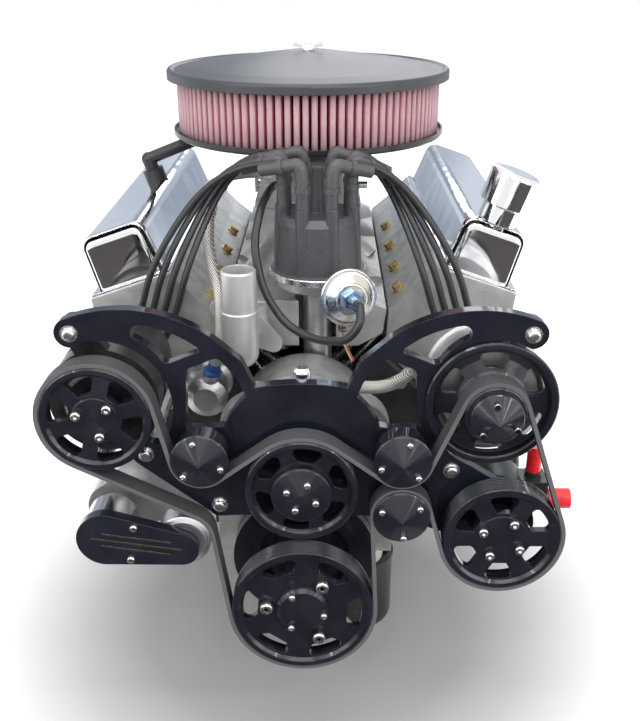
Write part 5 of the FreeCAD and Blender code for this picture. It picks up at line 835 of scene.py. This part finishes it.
# The leads leave the towers by side and lane, drop outside the bracket and run back to the plugs,
# which stand on the flanks of the heads
flank_foot = (0.216, 0.112)
flank_rise = (0.028, 0.146)
plug_up = 0.024
plug_sunk = 0.0097
plug_reach = 0.040
boot_drop = 0.026
tower_ring = 0.0405
tower_top = 0.418
lead_front = -0.517
lane_gap = 0.0135
block_middle = -0.254
bank_stagger = 0.022
bore_spacing = 0.11125
lead_routes = []
boot_arms = []
boot_collars = []
for side in (-1, 1):
    middle = block_middle + side * bank_stagger / 2
    stations = [middle - (index - 1.5) * bore_spacing for index in (3, 2, 1, 0)]
    turns = sorted((angle for angle in range(8)
                    if math.cos(math.radians(first_tower + tower_pitch * angle)) * side > 0),
                   key=lambda item: -math.sin(math.radians(first_tower + tower_pitch * item)))
    for lane, station in enumerate(stations):
        turn = math.radians(first_tower + tower_pitch * turns[lane])
        tower = cap_spot + Vector((tower_ring * math.cos(turn), tower_ring * math.sin(turn), tower_top))
        shift = lane_gap * lane
        face = Vector((side * flank_rise[0], 0, flank_rise[1])).normalized()
        out = Vector((side * flank_rise[1], 0, -flank_rise[0])).normalized()
        foot = Vector((side * flank_foot[0], station, flank_foot[1]))
        seat = foot + face * plug_up - out * plug_sunk
        end = seat + out * plug_reach + Vector((0, 0, -boot_drop))
        route = [tower, tower + Vector((0, 0, 0.022)),
                 Vector((side * (0.084 + shift * 0.4), lead_front + 0.078 - shift, tower_top + 0.002)),
                 Vector((side * (0.128 + shift), lead_front, 0.330)),
                 Vector((side * (0.150 + shift), lead_front, 0.250)),
                 Vector((side * (0.190 + shift * 0.9), lead_front, 0.188)),
                 Vector((side * (0.222 + shift * 0.8), lead_front, 0.112 - shift / 2))]
        if lane == 0:
            route.append(Vector((end.x, station, end.z - 0.034)))
        else:
            low = 0.062 - shift
            across = side * (0.246 + shift / 2)
            route.append(Vector((across, lead_front + 0.038, low)))
            route.append(Vector((across, station - 0.046, low)))
            route.append(Vector((end.x, station, low + 0.006)))
        route.append(end + Vector((0, 0, 0.004)))
        lead_routes.append(route)
        away = (route[2] - route[1]).normalized()
        elbow = tower + Vector((0, 0, 0.016))
        boot_arms.append([tower + Vector((0, 0, -0.014)), tower + Vector((0, 0, 0.017)),
                          elbow + away * 0.018, elbow + away * 0.050])
        boot_collars.append([tower + Vector((0, 0, -0.015)), tower + Vector((0, 0, -0.009))])
        boot_collars.append([elbow + away * 0.022, elbow + away * 0.028])
leads = hose_along(lead_routes, 0.004)
finish_piece(leads, "plug_leads", lead_rubber, "root")
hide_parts("plug_wires")
boot_rubber = rubber_finish("boot_rubber", (0.05, 0.05, 0.055), (0.09, 0.09, 0.096), 0.5)
boot_rubber.dress("spark_plugs")
finish_piece(hose_along(boot_arms, 0.0074, 16), "lead_boots", boot_rubber, "root")
finish_piece(hose_along(boot_collars, 0.0088, 16), "boot_collars", boot_rubber, "root")

# A fine cross weave shows on the braided cover as two sets of slanting threads
braid = Finish("braided_steel", (0.62, 0.61, 0.58), 0.7, 0.38)
weave = []
for lean in (42, -42):
    turned = braid.nodes.new("ShaderNodeMapping")
    turned.inputs["Rotation"].default_value = (0, math.radians(lean), 0)
    braid.links.new(braid.place.outputs["Object"], turned.inputs["Vector"])
    threads = braid.nodes.new("ShaderNodeTexWave")
    threads.bands_direction = "Z"
    threads.inputs["Scale"].default_value = 170
    braid.links.new(turned.outputs["Vector"], threads.inputs["Vector"])
    weave.append(threads.outputs["Fac"])
crossed = math_node(braid.material.node_tree, "MAXIMUM", *weave)
braid.vary_colour(crossed, (0.10, 0.09, 0.08), (0.74, 0.72, 0.67), 0.55, 0.95)
braid.bump(crossed, 0.0005)
braid.dress("braided_hoses")
fittings = []
for spot, toward in (((-0.1105, -0.384, 0.3722), (0.19, 0.92, 0.35)),
                     ((-0.1150, -0.424, 0.3560), (-0.06, 0.90, 0.42)),
                     ((-0.062, -0.330, 0.384), (1, 0, 0))):
    fittings.append(lathe([(0, 0.0074), (0.0015, 0.0086), (0.011, 0.0086), (0.012, 0.0076)],
                          spot, toward, 24))
    nut_start = Vector(spot) + Vector(toward).normalized() * 0.0105
    fittings.append(lathe([(0, 0.0100), (0.0008, 0.0108), (0.0075, 0.0108), (0.0082, 0.0100)],
                          nut_start, toward, 6))
finish_piece(join_all(fittings), "hose_fittings", bright_steel, "root")


# Manifold bolts, coil spring and sensor wires. Hexagon bolts with a yellow zinc finish along both
# sides of the manifold, and a spring that guards two thin wires behind the vacuum can.
yellow_zinc = steel_finish("yellow_zinc", (0.62, 0.47, 0.20), 0.3, 0.3)
bolts = []
bolt_across, bolt_height = 0.1128, 0.2663
bolt_lean = (0.64, 0.77)
bolt_rows = {-1: (-0.461, -0.372, -0.281, -0.190), 1: (-0.435, -0.353, -0.262, -0.162)}
for side, stations in bolt_rows.items():
    for station in stations:
        spot = Vector((side * bolt_across, station, bolt_height))
        toward = Vector((-side * bolt_lean[0], 0, bolt_lean[1]))
        bolts.append(lathe([(0, 0.0086), (0.0016, 0.0086), (0.0019, 0.0080)], spot, toward, 32))
        bolts.append(lathe([(0, 0.0064), (0.0052, 0.0064), (0.0062, 0.0054)],
                           spot + toward.normalized() * 0.0018, toward, 6))
finish_piece(join_all(bolts), "manifold_bolts", yellow_zinc, "root")
spring_across, spring_station = 0.0425, -0.507
spring_radius = 0.0042
spring_top, spring_height = 0.276, 0.036
spring_turns = 10
steps_per_turn = 8
spring_route = []
for step in range(spring_turns * steps_per_turn + 1):
    turn = step * 2 * math.pi / steps_per_turn
    spring_route.append((spring_across + spring_radius * math.cos(turn),
                         spring_station + spring_radius * math.sin(turn),
                         spring_top - spring_height * step / (spring_turns * steps_per_turn)))
spring = hose_along([spring_route], 0.0009, 8)
finish_piece(spring, "coil_guard", cap_plastic, "root")
for wire_name, offset, wire_colour in (("orange_wire", 0.0, (0.72, 0.14, 0.04)),
                                       ("white_wire", 0.0022, (0.70, 0.70, 0.68))):
    coat = rubber_finish(wire_name, [c * 0.8 for c in wire_colour], wire_colour, 0.4)
    wire = hose_along([[(spring_across - offset, spring_station, 0.268),
                        (spring_across - offset, -0.508, 0.238),
                        (0.0480 - offset, -0.512, 0.222), (0.0560 - offset, -0.514, 0.206)]], 0.0010, 8)
    finish_piece(wire, wire_name, coat, "root")


# Fuel pump, oil filter and port caps. A pump body with a blue anodised fitting, a gloss black
# painted filter can, and red moulded caps on the ports of the steering pump.
pump_metal = cast_finish("pump_metal", (0.30, 0.30, 0.31), (0.52, 0.52, 0.53), 0.85, 0.3, 0.0002)
fitting_foot = 0.203
pump_metal.blend_colour(pump_metal.along("Z", fitting_foot - 0.0005, fitting_foot + 0.0005),
                        (0.06, 0.16, 0.40))
pump_metal.dress("fuel_pump")
filter_paint = Finish("filter_paint", (0.012, 0.012, 0.013), 0.0, 0.16)
filter_paint.round_edges(0.001)
filter_dust = filter_paint.noise(120, 3)
filter_paint.vary_colour(filter_dust, (0.010, 0.010, 0.011), (0.02, 0.02, 0.022))
filter_paint.vary_roughness(filter_dust, 0.12, 0.24)
filter_paint.dress("oil_filter")
red_plastic = Finish("red_cap", (0.72, 0.012, 0.018), 0.0, 0.3)
red_plastic.round_edges(0.0006)
cap_sheen = red_plastic.noise(160, 2)
red_plastic.vary_colour(cap_sheen, (0.60, 0.008, 0.014), (0.80, 0.02, 0.026))
red_plastic.dress("port_caps")
